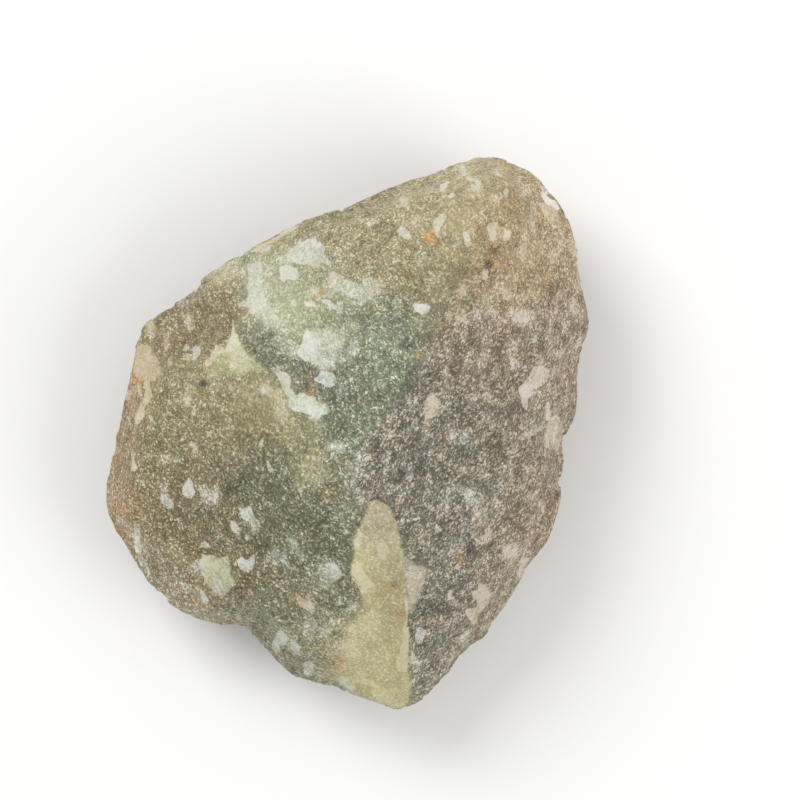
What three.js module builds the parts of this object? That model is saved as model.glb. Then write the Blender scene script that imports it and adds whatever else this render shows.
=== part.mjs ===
// Rough natural jade stone, broken on all sides, lying on its flattest side.
// Millimetres, +Z up. Seen from above, +Y points to the stone's narrow upper
// shoulder and -Y to its lower tip; the long ridge runs between the two.
// The stone is one natural piece, so the whole object is one closed body.
import * as THREE from 'three';
import { mergeVertices } from 'three/addons/utils/BufferGeometryUtils.js';

// ---- driving dimensions (mm) ----
const LENGTH_Y = 57.3;        // longest side, shoulder to tip
const WIDTH_X = 50.4;         // across the girth
const HEIGHT_Z = 27.2;        // flat patch to the highest point of the ridge
const HEART = [0, 0, 11];     // inner point that sees the whole surface
const DETAIL = 20;            // fineness of the surface: 20 * (DETAIL + 1)^2 faces
const ROUGHNESS = [           // uneven broken surface: wavelength, depth
  [9.0, 0.34],
  [4.2, 0.22],
  [2.3, 0.12],
];
const RIM_CALM = 0.3;         // how much of the unevenness is left at the outline
const WEAR = 0.4;             // how far ridges are worn round, 0 is sharp
const LIFT = 3;               // crowds the surface points on the upper side
const REST_Z = 0;             // height of the flat patch the stone lies on

// ---- corners of the broken faces: x, y, z ----
// broken outline of the stone seen from above, where its girth is widest
const RIM = [
  [12.99,28.29,12.32], [14.31,28.63,12.23], [16.11,28.45,12.53], [17.61,27.94,12.83], [18.93,27.26,13.11], [20.06,26.07,13.77],
  [20.79,24.98,14.13], [21.86,23.9,14.28], [22.85,22.42,14.15], [23.5,20.59,14.68], [24,18.63,14.28], [24.28,16.18,13.34],
  [24.63,15.2,13.17], [25.05,12.89,12.86], [25.15,10.76,12.28], [24.51,9.1,11.97], [24.29,7.45,11.33], [24.23,4.64,10.79],
  [23.93,2.66,10.49], [23.36,0.56,9.59], [22.74,0.04,9.81], [22.66,-1.68,9.56], [22.81,-3.06,10.14], [22.48,-5.15,9.81],
  [22.46,-6.83,10.52], [22,-8.57,11.03], [21.49,-10.65,11], [20.45,-12.03,11.02], [19.43,-13.25,10.59], [18.42,-15.01,9.48],
  [17.54,-16.42,9.54], [16.51,-17.87,8.73], [15.57,-19.54,8.76], [14.39,-21.42,8.36], [12.62,-22.69,8.7], [11.17,-24.53,9.28],
  [9.57,-26.24,10.41], [8.28,-27.51,10.66], [6.69,-28.45,10.86], [5.57,-28.74,11.34], [4.14,-28.43,11.16], [2.39,-27.77,11.41],
  [0.46,-27.2,10.48], [-1.62,-26.27,9.89], [-2.67,-26.15,9.93], [-4.89,-25.49,9.07], [-6.86,-24.33,8.43], [-8.43,-22.77,8.53],
  [-9.46,-21.2,8.64], [-10.98,-20.09,9.85], [-13.59,-20,9.95], [-16.11,-19.16,11.23], [-18.21,-17.81,10.69], [-19.93,-16.07,10.88],
  [-21.19,-14.7,10.33], [-22.24,-12.98,10.1], [-22.97,-11.29,9.27], [-24.05,-10.26,8.63], [-24.92,-8.52,8.59], [-25.41,-6.47,8.12],
  [-24.76,-4.27,8.54], [-24.21,-1.67,8.92], [-23.85,0.41,9.2], [-23.36,2.68,10.14], [-23.09,4.06,10.17], [-22.6,5.61,11.04],
  [-22.31,7.34,11.5], [-21.63,9.58,11.59], [-21.42,10.61,12.01], [-20.94,11.3,11.46], [-19.77,12.34,11.38], [-18.01,13.21,11.41],
  [-16.97,13.9,11.3], [-16.22,14.48,11.68], [-15.36,15,11.76], [-15.08,15.85,12.13], [-14.28,16.7,12.56], [-12.73,17.72,13.02],
  [-10.28,18.91,14.02], [-8.56,19.94,13.96], [-6.48,21.09,14.8], [-4.76,21.75,15.24], [-2.54,22.56,14.54], [0.02,23.17,14.22],
  [2.59,24.4,13.77], [5.17,25.45,13.56], [6.87,26.16,12.78], [8.61,26.78,12.52], [9.78,27.23,12.05], [11.34,27.8,12.2],
];
// worn shoulder just inside the outline, where the top faces turn down
const BEVEL = [
  [13.12,26.94,17.17], [15.79,26.86,16.54], [17.92,25.81,16.27], [19.83,24.15,16.69], [21.73,21.8,16.6], [22.4,18.2,16.23],
  [23.45,14.99,15.61], [23.88,10.78,14.93], [22.55,7.68,14.42], [22.44,2.95,14.69], [21.46,0.3,13.8], [21.47,-2.97,13.56],
  [21.04,-6.55,13.36], [20.35,-10.08,12.98], [18.49,-12.56,13.05], [16.3,-15.56,12.37], [14.52,-18.59,12.38], [11.77,-21.8,11.81],
  [8.83,-25.39,12.23], [6.37,-27.58,12.22], [4.36,-27.23,12.5], [0.82,-26.09,12.54], [-2.02,-24.52,13.41], [-5.65,-22.58,13.49],
  [-8.43,-19.55,12.55], [-12.83,-18.18,13.24], [-17.29,-16.53,12.89], [-19.55,-13.55,12.49], [-21,-10.15,12.3], [-22.95,-7.99,12.78],
  [-21.98,-4.46,13.75], [-21.23,0.01,13.9], [-21.02,3.69,14.01], [-19.85,6.77,13.89], [-20.48,10.15,13.05], [-19.22,11.66,12.78],
  [-16.31,12.95,13.63], [-14.55,14.3,14.72], [-13.33,15.58,15.33], [-9.67,17.91,16.54], [-6.04,20.2,17.12], [-2.14,21.48,17.62],
  [3.04,23.09,17.51], [7.34,24.68,17.1], [10.28,25.39,17.04],
];
// ridges, steps and corners of the broken faces on top
const TOP = [
  [14.43,26.43,18.6], [13.36,23.32,21.6], [12.31,20.71,23.4], [11.69,18.54,24.5], [10.97,16.4,25.3], [10.26,14.06,25.9],
  [9.45,11.74,26.4], [8.74,10.13,26.6], [8.14,8.62,26.8], [7.43,7.21,26.95], [6.83,5.8,27.05], [6.03,4.59,27.1],
  [5.22,3.39,27.1], [4.22,2.08,27], [3.21,0.68,26.85], [2.21,-0.73,26.6], [1.2,-2.04,26.3], [0.79,-3.05,26.05],
  [0.59,-4.07,25.8], [0.48,-4.98,25.6], [0.78,-5.99,25.35], [1.39,-6.9,25.1], [2.19,-7.01,25], [3.2,-6.8,25],
  [4.21,-6.91,24.9], [4.72,-7.52,24.7], [5.02,-8.54,24.4], [5.32,-9.56,24], [5.57,-10.48,23.6], [5.93,-11.62,23],
  [6.23,-12.75,22.4], [6.44,-14,21.7], [6.54,-15.36,20.9], [6.49,-16.93,20], [6.34,-18.82,18.9], [6.34,-20.41,17.9],
  [6.45,-21.69,17.1], [6.55,-22.86,16.3], [6.58,-24.15,15.4], [6.61,-25.34,14.6], [6.66,-26.64,13.7], [1.68,-8.64,24.5],
  [1.17,-9.86,24], [0.91,-11.31,23.2], [0.85,-12.75,22.4], [0.64,-14.1,21.7], [1.04,-15.36,20.9], [1.65,-16.51,20.3],
  [0.72,-18.19,19.3], [-0.22,-19.89,18.1], [-1.16,-21.7,16.8], [-2.01,-23.55,15.2], [3.3,-8.64,24.2], [3.39,-11.22,22.9],
  [3.59,-13.81,21.3], [3.89,-16.43,19.6], [3.98,-19.07,18], [4.18,-21.73,16.4], [4.59,-24.19,14.9], [-0.42,-2.75,26],
  [-1.23,-4.38,25.2], [-0.95,-7.13,24.2], [-1.48,-10.2,22.8], [-2.01,-13.3,21.3], [-3.06,-16.44,19.5], [-4.13,-19.61,17.5],
  [-4.89,-22.07,15.8], [-2.65,-2.06,25.2], [-4.1,-5.63,23.4], [-4.54,-9.73,21.8], [-6.13,-13.89,19.4], [-8.25,-17.58,16.9],
  [-6.03,-1.58,23.2], [-8.13,-6.7,20.9], [-10.26,-11.88,18.3], [-12.41,-16.09,15.8], [-10.69,0.43,20.6], [-12.6,-4.7,18.6],
  [-14.44,-9.89,16.5], [-16.6,-14.08,14.4], [-14.33,1.44,18.9], [-16.36,-2.68,17.1], [-18.33,-7.35,15], [-20.07,-11.53,13.4],
  [-17.48,3.49,17.4], [-19.1,0.4,15.9], [-20.52,-3.75,14.5], [-21.3,-7.38,13.7], [-18.55,5.03,16.6], [-20.16,8.36,13.6],
  [-19.59,7.52,14.6], [-19.02,6.89,15.6], [-18.26,6.68,16.2], [-17.42,7.19,16.6], [-16.68,7.6,16.9], [-15.52,7.49,17.6],
  [-14.26,7.49,18.3], [-13.63,8.2,18.5], [-13.22,8.81,18.6], [-12.6,9.43,18.8], [-11.98,10.14,18.95], [-11.47,11.47,18.9],
  [-10.94,10.54,19.4], [-10.61,9.82,19.8], [-10.19,8.9,20.2], [-9.77,8.08,20.6], [-8.88,7.15,21.3], [-8.2,6.95,21.7],
  [-7.48,6.84,22], [-7.17,6.13,22.3], [-6.86,5.52,22.6], [-6.44,4.71,23], [-5.92,3.89,23.4], [-5.51,3.19,23.75],
  [-5.1,2.48,24], [-4.48,1.97,24.3], [-3.77,1.27,24.6], [-2.95,0.26,25], [-2.04,-0.85,25.5], [-1.12,-1.85,25.8],
  [-20.63,9.4,12.7], [-20.09,8.88,13.1], [-19.52,8.15,14], [-18.86,7.52,14.7], [-18.23,7.41,14.8], [-17.5,7.93,15],
  [-16.65,8.34,15.5], [-15.59,8.23,16.2], [-14.62,8.22,17], [-14.1,8.83,17.3], [-13.57,9.55,17.5], [-12.85,10.26,17.7],
  [-12.23,11.08,17.7], [-11.62,12.42,17.6], [-10.88,11.69,18.1], [-10.14,10.35,18.7], [-9.61,9.32,19.3], [-9.08,8.49,19.8],
  [-8.34,7.77,20.6], [-7.42,7.56,20.9], [-6.69,6.85,21.3], [-6.17,5.93,21.8], [-5.65,5.01,22.3], [-5.13,4.2,22.7],
  [-4.51,3.19,23.3], [-3.68,2.38,24], [-2.45,1.07,24.8], [-1.03,-0.34,25.5], [-19.28,10.13,12.7], [-17.59,11.16,13.2],
  [-16.11,12.18,13.9], [-14.52,13.2,14.8], [-12.71,14.2,15.9], [-16.71,9.38,14.3], [-15,10.19,15.4], [-13.53,11.52,16.1],
  [-10.8,13.45,17.4], [-10.09,15.4,17.3], [-10,17.06,17], [-9.44,12.71,18.4], [-8.07,11.87,19.5], [-7.13,10.83,20.3],
  [-6.49,9.6,21.1], [-6.07,8.37,21.6], [-7.92,18.68,17.7], [-2.76,20.36,19.4], [0.32,21.14,20.3], [3.38,22.14,20.8],
  [6.44,23.36,20.9], [9.29,24.38,20.7], [11.54,25.12,20.2], [-7.16,15.25,19.2], [-4.58,16.76,20.1], [-1.5,17.94,21.3],
  [1.56,18.72,22.4], [4.61,19.71,23.1], [7.65,20.71,23.5], [10.19,21.53,23.2], [-4.04,12.65,21.4], [-0.97,14.15,22.5],
  [2.08,15.13,23.8], [5.12,16.11,24.7], [8.15,16.81,24.9], [-3.3,9.07,22.7], [-0.45,10.58,23.7], [2.6,11.77,24.9],
  [5.62,12.76,25.8], [7.64,13.26,25.9], [-1.96,5.51,24], [0.58,7.02,24.8], [3.41,8.53,25.7], [5.83,9.02,26.4],
  [0.08,2.99,25.6], [2.1,4.5,26], [4.42,5.5,26.6], [1.4,0.97,26.3], [3.11,2.69,26.6], [16.37,25.49,18.9],
  [15.59,22.82,21.6], [14.95,19.7,23.3], [14.32,16.63,24.3], [13.71,13.59,24.6], [18.11,23.95,19], [17.85,20.81,20.9],
  [17.31,17.21,22], [16.59,13.64,22.5], [20.1,21.45,17.6], [20.49,18.04,18.2], [20.25,14.23,19.2], [11.88,10.55,25.4],
  [14.93,10.07,23.9], [17.82,10.1,21.9], [20.77,10.65,19], [22.71,12.75,16.5], [22.71,9.15,16.4], [9.65,7.01,26.1],
  [12.69,6.01,24.9], [15.77,5.52,22.9], [18.67,5.53,20.6], [21.33,5.03,17.6], [7.44,3.49,26.4], [10.47,1.98,25.3],
  [13.73,0.96,23.3], [16.82,0.94,21.2], [19.98,0.93,18.2], [4.82,-0.03,26.3], [7.64,-1.55,25.3], [11.19,-3.09,23.6],
  [14.79,-3.64,21.2], [17.91,-3.68,18.8], [20.46,-3.52,16], [3.11,-2.55,26], [5.12,-4.58,25.2], [8.66,-6.12,23.8],
  [12.23,-7.7,21.7], [15.85,-8.27,19.1], [19,-8.35,16.4], [2.6,-5.08,25.6], [5.83,-7.63,24.4], [9.49,-10.23,22],
  [12.98,-11.84,19.4], [16.42,-11.93,16.8], [19.06,-10.97,14.7], [7.45,-11.23,22.6], [8.17,-13.3,21.4], [10.22,-14.37,20.2],
  [12.8,-15.49,17.9], [15.43,-15.6,15.3], [7.76,-14.85,20.8], [7.57,-16.63,19.8], [9.73,-17.53,18.1], [12.01,-18.66,16],
  [7.47,-18.86,18.2], [7.68,-21.2,16.6], [9.75,-20.74,15.6], [7.48,-23.35,15], [8.94,-23.21,13.9], [7.49,-25.3,13.6],
];
// lower edge of the broken side walls, just under the outline
const WALL = [
  [14.43,28.57,6.63], [17.5,27.64,7.02], [19.76,25.83,8.81], [21.58,23.88,7.35], [23.1,20.64,7.89], [23.67,16.17,8.13],
  [24.18,12.97,7.63], [23.49,9.28,8], [23.96,4.71,6.26], [22.9,0.69,5.81], [22.46,-1.67,5.71], [22.01,-5.18,5.45],
  [21.15,-8.4,6.56], [19.44,-11.55,5.32], [17.35,-14.36,5.33], [16.05,-17.68,5.32], [13.64,-20.93,5.36], [10.63,-24.18,5.97],
  [7.19,-26.34,6.88], [5.53,-28.19,6.65], [2.63,-27.33,6.56], [-1.37,-25.6,6.35], [-4.66,-25.14,5.47], [-7.52,-21.8,5.57],
  [-10.69,-19.33,5.95], [-16.14,-18.95,6.73], [-19.72,-15.8,5.8], [-22.1,-12.86,6.32], [-23.33,-9.93,5.64], [-24.84,-6.51,5.64],
  [-23.93,-1.8,6.16], [-23.11,2.58,7.07], [-22.22,5.48,6.41], [-21.37,9.48,7.58], [-20.98,11.15,6.9], [-18.01,12.93,6.45],
  [-16.14,14.29,7.81], [-15.05,15.73,8.19], [-12.71,17.51,7.48], [-8.52,19.7,7.44], [-4.62,21.25,8.08], [0.06,23.13,7.17],
  [5.29,25.43,7.6], [8.84,26.5,7.88], [11.63,27.38,7.07],
];
// corners of the large broken faces underneath
const UNDER = [
  [14.6,24.9,4.6], [20,21.4,5.4], [22,14.6,3.5], [21.3,6.6,4.7], [20,-1.2,2.5], [19.4,-8.6,4.3],
  [14.4,-16.4,2.9], [9.6,-22.6,4.8], [4,-25.4,3.9], [-3.8,-22.6,2.7], [-8.4,-18.2,4.5], [-15.2,-16.4,3.1],
  [-20.4,-11.4,4.7], [-22,-4.8,2.7], [-20.4,3.4,4.5], [-18,9.8,2.9], [-11.6,14.8,4.9], [-3.4,19.2,3.3],
  [5.6,22.8,4.9],
];
// edge and middle of the flat patch the stone lies on
const BASE = [
  [-10.4,8.6,0.12], [-3.4,13.8,0.12], [5.2,16,0.12], [12.2,14.2,0.12], [15,7.4,0.12], [13.8,0.2,0.12],
  [12.6,-5.8,0.12], [8.2,-11.6,0.12], [2.6,-16.2,0.12], [-4,-14.2,0.12], [-9.8,-10.6,0.12], [-14.4,-6.8,0.12],
  [-15.2,0.4,0.12], [-13.4,5,0.12], [-7,4,-0.8], [-7,-4,-0.8], [1,-8.5,-0.8], [6,-3,-0.8],
  [7.5,5,-0.8], [1,9,-0.8], [0,0,-1],
];
// faces of the cage, as numbers of its corners in the order RIM, BEVEL, TOP, WALL, UNDER, BASE
const CAGE_FACES = [
  [472,466,467], [477,472,471], [471,476,477], [440,461,460], [440,441,461], [458,471,457], [476,471,458], [208,207,211], [208,203,207], [209,204,208],
  [204,203,208], [362,356,361], [61,121,62], [468,472,467], [449,468,467], [374,380,375], [375,380,381], [466,465,447], [470,453,457], [457,471,470],
  [439,440,460], [399,440,398], [441,440,399], [460,461,475], [477,476,475], [475,474,477], [464,474,463], [473,465,466], [477,474,473], [464,465,473],
  [473,474,464], [473,472,477], [466,472,473], [454,458,457], [457,453,454], [210,206,209], [205,206,200], [205,204,209], [209,206,205], [373,378,374],
  [162,378,373], [211,207,248], [212,208,211], [211,231,215], [215,231,219], [215,212,211], [216,212,215], [215,220,216], [219,220,215], [425,424,64],
  [122,220,219], [121,220,122], [356,362,357], [358,352,357], [320,321,316], [121,61,120], [120,61,60], [60,61,423], [62,424,423], [423,61,62],
  [466,447,448], [448,447,416], [467,466,448], [448,449,467], [464,463,444], [444,463,407], [376,375,381], [425,453,452], [453,470,452], [452,424,425],
  [452,423,424], [469,471,472], [469,470,471], [472,468,469], [469,452,470], [358,364,359], [353,352,358], [358,359,353], [353,359,354], [356,357,351],
  [351,357,352], [18,100,20], [438,439,460], [474,475,462], [462,463,474], [462,475,461], [461,441,462], [200,206,201], [201,185,200], [416,447,415],
  [415,46,416], [199,205,200], [181,199,183], [206,210,115], [115,210,116], [116,51,115], [379,380,374], [374,378,379], [368,373,374], [368,367,373],
  [368,362,361], [361,367,368], [219,231,230], [223,122,219], [123,122,223], [219,230,223], [223,230,228], [62,121,63], [63,424,62], [63,64,424],
  [121,122,63], [63,122,64], [426,453,425], [426,427,453], [65,122,123], [64,122,65], [425,64,65], [65,426,425], [325,320,324], [321,320,325],
  [328,325,324], [366,367,361], [374,375,369], [369,368,374], [362,368,369], [432,454,431], [83,434,82], [82,434,433], [315,320,316], [308,301,300],
  [222,118,217], [217,212,216], [222,120,119], [119,118,222], [221,220,121], [121,120,221], [216,220,221], [221,217,216], [221,120,222], [222,217,221],
  [417,418,449], [449,448,417], [417,48,49], [417,448,416], [416,48,417], [58,421,57], [57,119,58], [56,118,57], [118,119,57], [451,469,468],
  [423,452,451], [452,469,451], [190,183,191], [103,102,371], [25,102,103], [23,102,24], [24,102,25], [101,102,23], [23,22,101], [356,351,350],
  [350,144,145], [350,351,344], [310,315,316], [88,436,87], [459,438,460], [456,438,459], [460,475,459], [459,475,476], [476,458,459], [407,463,406],
  [463,443,406], [29,407,406], [406,28,29], [442,443,463], [463,462,442], [442,462,441], [456,436,437], [393,438,437], [437,438,456], [187,188,162],
  [188,187,177], [416,46,47], [47,48,416], [112,44,43], [42,111,43], [43,111,112], [46,415,45], [185,201,186], [112,111,186], [111,185,186],
  [204,205,198], [205,199,198], [198,199,181], [184,183,199], [200,185,184], [184,199,200], [185,192,184], [191,183,184], [184,192,191], [114,115,49],
  [206,115,114], [114,201,206], [49,48,114], [48,47,114], [114,47,46], [49,115,50], [50,115,51], [50,51,418], [50,417,49], [418,417,50],
  [383,379,166], [383,384,380], [380,379,383], [162,373,161], [373,160,161], [161,187,162], [160,187,161], [157,187,158], [373,367,159], [159,160,373],
  [159,187,160], [159,158,187], [241,231,211], [308,300,307], [307,300,130], [275,276,298], [247,248,278], [278,246,247], [211,248,247], [247,246,211],
  [252,251,207], [249,248,207], [207,203,202], [203,195,202], [202,252,207], [231,232,264], [123,223,226], [327,328,324], [324,323,327], [150,366,360],
  [360,366,361], [360,147,148], [362,369,363], [363,364,358], [358,357,363], [363,357,362], [458,454,455], [454,432,455], [455,432,433], [433,434,455],
  [455,459,458], [455,434,456], [456,459,455], [435,436,456], [456,434,435], [131,300,301], [83,82,131], [130,300,131], [55,118,56], [54,55,420],
  [420,55,56], [56,57,420], [420,57,421], [117,53,116], [54,53,117], [117,55,54], [60,423,422], [423,451,422], [422,421,58], [422,451,421],
  [408,444,407], [407,31,408], [408,409,444], [408,31,32], [32,409,408], [382,376,381], [104,376,382], [414,415,447], [414,43,44], [414,413,42],
  [42,43,414], [44,45,414], [414,45,415], [34,107,35], [35,107,36], [41,111,42], [42,413,41], [445,465,464], [464,444,445], [444,409,445],
  [181,183,182], [183,190,182], [182,189,181], [190,189,182], [381,380,385], [380,384,385], [377,103,371], [104,103,377], [371,376,377], [377,376,104],
  [104,28,27], [27,103,104], [28,406,27], [443,442,404], [404,22,23], [365,359,364], [102,101,365], [100,359,365], [365,101,100], [365,364,371],
  [371,102,365], [142,350,344], [321,325,326], [326,322,321], [326,142,322], [356,350,355], [355,350,145], [147,360,355], [361,356,355], [355,360,361],
  [19,18,20], [19,401,18], [98,14,97], [441,399,400], [400,401,441], [399,14,400], [316,321,317], [321,322,317], [322,140,317], [317,140,139],
  [315,310,309], [308,314,309], [309,314,315], [309,301,308], [354,98,349], [349,98,97], [344,351,345], [345,351,352], [378,164,165], [166,379,165],
  [165,379,378], [165,189,166], [188,189,165], [165,164,188], [162,188,163], [188,164,163], [163,378,162], [163,164,378], [179,189,188], [176,187,157],
  [176,177,187], [46,45,113], [113,114,46], [201,114,113], [112,186,113], [113,186,201], [113,44,112], [113,45,44], [240,241,273], [240,272,239],
  [273,272,240], [240,232,231], [231,241,240], [245,276,244], [211,246,245], [245,241,211], [278,323,277], [277,246,278], [277,245,246], [276,245,277],
  [274,275,298], [274,297,273], [298,297,274], [273,241,274], [207,251,250], [250,249,207], [252,202,253], [77,432,431], [77,78,432], [432,78,79],
  [80,433,79], [433,432,79], [306,292,294], [263,230,231], [231,264,263], [287,292,128], [227,223,228], [227,226,223], [328,327,331], [148,147,331],
  [282,327,281], [281,253,282], [252,253,281], [251,252,281], [325,328,329], [328,331,329], [329,331,147], [329,326,325], [145,144,329], [144,326,329],
  [151,366,150], [151,152,366], [151,150,282], [366,152,372], [157,158,372], [367,366,372], [372,159,367], [158,159,372], [194,202,195], [152,151,194],
  [150,360,149], [149,360,148], [148,331,149], [370,363,369], [370,376,371], [371,364,370], [364,363,370], [375,376,370], [370,369,375], [87,436,86],
  [436,435,86], [320,315,319], [315,314,319], [324,320,319], [319,323,324], [130,131,81], [81,131,82], [80,130,81], [81,433,80], [81,82,433],
  [418,51,52], [52,51,116], [116,53,52], [419,53,54], [54,420,419], [418,52,419], [419,52,53], [449,418,419], [212,217,213], [209,208,213],
  [208,212,213], [213,210,209], [218,217,118], [118,55,218], [55,117,218], [218,213,217], [60,422,59], [59,422,58], [58,119,59], [59,120,60],
  [59,119,120], [104,382,105], [29,28,105], [105,28,104], [33,409,32], [33,34,409], [107,34,33], [37,36,108], [108,107,391], [108,36,107],
  [410,34,35], [409,34,410], [410,445,409], [465,445,446], [412,413,446], [446,447,465], [446,414,447], [413,414,446], [171,172,388], [191,192,171],
  [192,172,171], [387,385,384], [167,189,190], [190,168,167], [166,189,167], [167,383,166], [384,383,167], [167,168,384], [193,185,111], [193,192,185],
  [388,172,390], [389,390,391], [388,390,389], [391,107,389], [389,387,388], [385,387,389], [25,103,26], [103,27,26], [26,27,406], [22,404,403],
  [403,404,442], [144,350,143], [350,142,143], [143,326,144], [142,326,143], [146,355,145], [147,355,146], [145,329,146], [146,329,147], [97,14,13],
  [13,14,399], [15,98,16], [14,98,15], [16,400,15], [15,400,14], [16,98,17], [18,401,17], [401,400,17], [17,400,16], [322,142,141],
  [141,140,322], [141,142,344], [344,140,141], [398,440,397], [440,439,397], [398,397,10], [340,345,346], [346,343,340], [352,353,346], [346,345,352],
  [336,345,340], [340,335,336], [344,345,336], [336,140,344], [139,140,336], [336,335,139], [138,317,139], [138,335,334], [139,335,138], [311,310,316],
  [316,317,311], [301,309,302], [302,309,310], [188,177,178], [178,179,188], [181,189,180], [189,179,180], [180,198,181], [180,179,198], [177,176,196],
  [196,195,203], [155,195,196], [196,203,204], [296,272,273], [273,297,296], [242,274,241], [242,245,244], [241,245,242], [279,323,278], [278,248,279],
  [248,249,279], [128,77,76], [76,77,431], [128,292,293], [293,77,128], [78,77,293], [293,292,306], [428,454,453], [428,429,454], [453,427,428],
  [123,226,225], [230,263,262], [291,287,268], [292,287,291], [291,294,292], [153,372,152], [153,194,195], [152,194,153], [254,253,202], [202,194,254],
  [282,253,254], [254,151,282], [254,194,151], [330,331,327], [330,149,331], [150,149,330], [282,150,330], [330,327,282], [84,434,83], [84,435,434],
  [323,319,318], [318,277,323], [318,297,298], [298,276,318], [276,277,318], [318,319,314], [450,419,420], [450,420,421], [468,449,450], [449,419,450],
  [450,451,468], [421,451,450], [214,117,116], [116,210,214], [210,213,214], [214,218,117], [213,218,214], [106,105,382], [106,33,32], [107,33,106],
  [32,31,106], [31,105,106], [29,105,30], [30,105,31], [30,407,29], [30,31,407], [392,108,391], [391,390,392], [109,392,175], [37,108,109],
  [108,392,109], [38,39,412], [37,109,38], [38,109,39], [445,410,411], [412,446,411], [411,446,445], [411,36,37], [35,36,411], [411,410,35],
  [411,38,412], [37,38,411], [384,168,169], [169,387,384], [169,190,191], [169,168,190], [412,39,40], [40,413,412], [40,41,413], [174,193,175],
  [175,392,174], [174,392,390], [25,26,405], [405,26,406], [405,406,443], [405,24,25], [443,404,405], [23,24,405], [405,404,23], [22,403,21],
  [21,101,22], [20,100,21], [100,101,21], [402,19,20], [20,21,402], [402,21,403], [401,19,402], [402,403,442], [441,401,402], [402,442,441],
  [99,17,98], [99,98,354], [100,18,99], [18,17,99], [354,359,99], [99,359,100], [96,343,348], [348,349,97], [97,13,348], [348,13,96],
  [11,10,96], [398,10,11], [9,397,8], [9,10,397], [4,395,3], [343,346,347], [349,348,347], [347,348,343], [347,346,353], [347,353,354],
  [354,349,347], [304,311,312], [317,138,312], [312,311,317], [301,302,132], [83,131,132], [132,131,301], [132,84,83], [198,179,197], [179,178,197],
  [204,198,197], [197,196,204], [197,178,177], [177,196,197], [155,196,156], [156,196,176], [156,176,157], [157,372,156], [156,372,155], [275,274,243],
  [274,242,243], [243,242,244], [244,276,243], [276,275,243], [249,250,280], [280,279,249], [280,250,251], [251,281,280], [323,279,280], [280,327,323],
  [280,281,327], [129,79,78], [78,293,129], [233,264,232], [232,240,233], [233,240,239], [239,234,233], [238,237,235], [238,234,239], [235,234,238],
  [306,294,295], [295,296,306], [269,291,268], [294,291,269], [268,267,269], [226,259,258], [258,225,226], [426,65,66], [66,67,426], [66,65,123],
  [123,224,66], [228,230,229], [230,262,229], [155,372,154], [372,153,154], [154,195,155], [154,153,195], [297,318,313], [313,296,297], [313,318,314],
  [313,307,306], [306,296,313], [308,307,313], [313,314,308], [386,389,107], [107,106,386], [381,385,386], [385,389,386], [386,382,381], [386,106,382],
  [39,109,110], [110,40,39], [175,193,110], [110,109,175], [41,40,110], [111,41,110], [110,193,111], [387,169,170], [170,171,388], [388,387,170],
  [191,171,170], [170,169,191], [173,390,172], [173,174,390], [193,174,173], [173,172,192], [192,193,173], [340,343,339], [339,338,334], [334,335,339],
  [339,335,340], [96,13,12], [12,11,96], [398,11,12], [12,399,398], [12,13,399], [10,9,95], [95,343,96], [96,10,95], [396,397,439],
  [8,397,396], [436,88,89], [89,437,436], [89,88,87], [87,134,89], [394,3,395], [394,438,393], [439,438,394], [394,396,439], [395,396,394],
  [303,132,302], [303,311,304], [310,311,303], [303,302,310], [84,132,85], [85,86,435], [435,84,85], [430,429,73], [431,454,430], [454,429,430],
  [430,76,431], [430,75,76], [79,129,299], [299,130,80], [80,79,299], [306,307,299], [299,307,130], [299,293,306], [299,129,293], [264,233,265],
  [265,233,234], [268,287,290], [290,267,268], [237,238,271], [239,272,271], [271,238,239], [272,296,271], [296,295,271], [236,267,235], [236,269,267],
  [235,237,236], [257,258,259], [225,258,257], [257,224,123], [123,225,257], [228,229,261], [261,229,262], [73,126,74], [74,430,73], [75,430,74],
  [137,138,334], [137,312,138], [334,338,333], [338,337,333], [333,137,334], [343,95,342], [342,339,343], [338,339,342], [5,395,4], [5,6,395],
  [341,337,338], [338,342,341], [7,396,395], [395,6,7], [8,396,7], [132,303,133], [133,85,132], [133,304,134], [133,303,304], [86,85,133],
  [133,134,87], [87,86,133], [286,290,287], [286,126,285], [267,290,266], [266,290,265], [266,265,234], [266,234,235], [235,267,266], [289,286,285],
  [290,286,289], [289,261,262], [288,261,289], [289,263,264], [289,262,263], [264,265,289], [265,290,289], [237,271,270], [270,271,295], [270,295,294],
  [270,236,237], [294,269,270], [269,236,270], [228,261,260], [260,227,228], [260,261,288], [260,259,226], [226,227,260], [260,257,259], [288,257,260],
  [284,289,285], [288,289,284], [285,126,284], [90,89,134], [1,90,91], [1,394,393], [393,437,1], [332,333,337], [92,332,337], [91,332,92],
  [92,5,4], [4,3,92], [3,91,92], [8,7,94], [94,9,8], [94,95,9], [94,342,95], [94,341,342], [127,287,128], [127,286,287],
  [128,76,127], [76,75,127], [75,74,127], [127,74,126], [126,286,127], [67,66,256], [256,255,67], [256,66,224], [224,257,256], [125,283,288],
  [288,284,125], [71,284,126], [71,125,284], [429,428,71], [2,91,3], [2,1,91], [3,394,2], [394,1,2], [89,90,0], [90,1,0],
  [437,89,0], [0,1,437], [91,90,135], [135,332,91], [337,341,93], [93,92,337], [93,7,6], [6,5,93], [5,92,93], [341,94,93],
  [93,94,7], [255,256,124], [288,283,124], [124,257,288], [124,256,257], [125,71,70], [70,428,427], [70,71,428], [72,126,73], [72,71,126],
  [73,429,72], [429,71,72], [305,90,134], [305,135,90], [134,304,305], [304,312,305], [333,332,136], [332,135,136], [135,305,136], [137,333,136],
  [312,137,136], [136,305,312], [67,255,68], [68,124,283], [255,124,68], [283,125,69], [125,70,69], [69,68,283], [427,426,69], [69,70,427],
  [426,67,69], [67,68,69],
];

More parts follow.
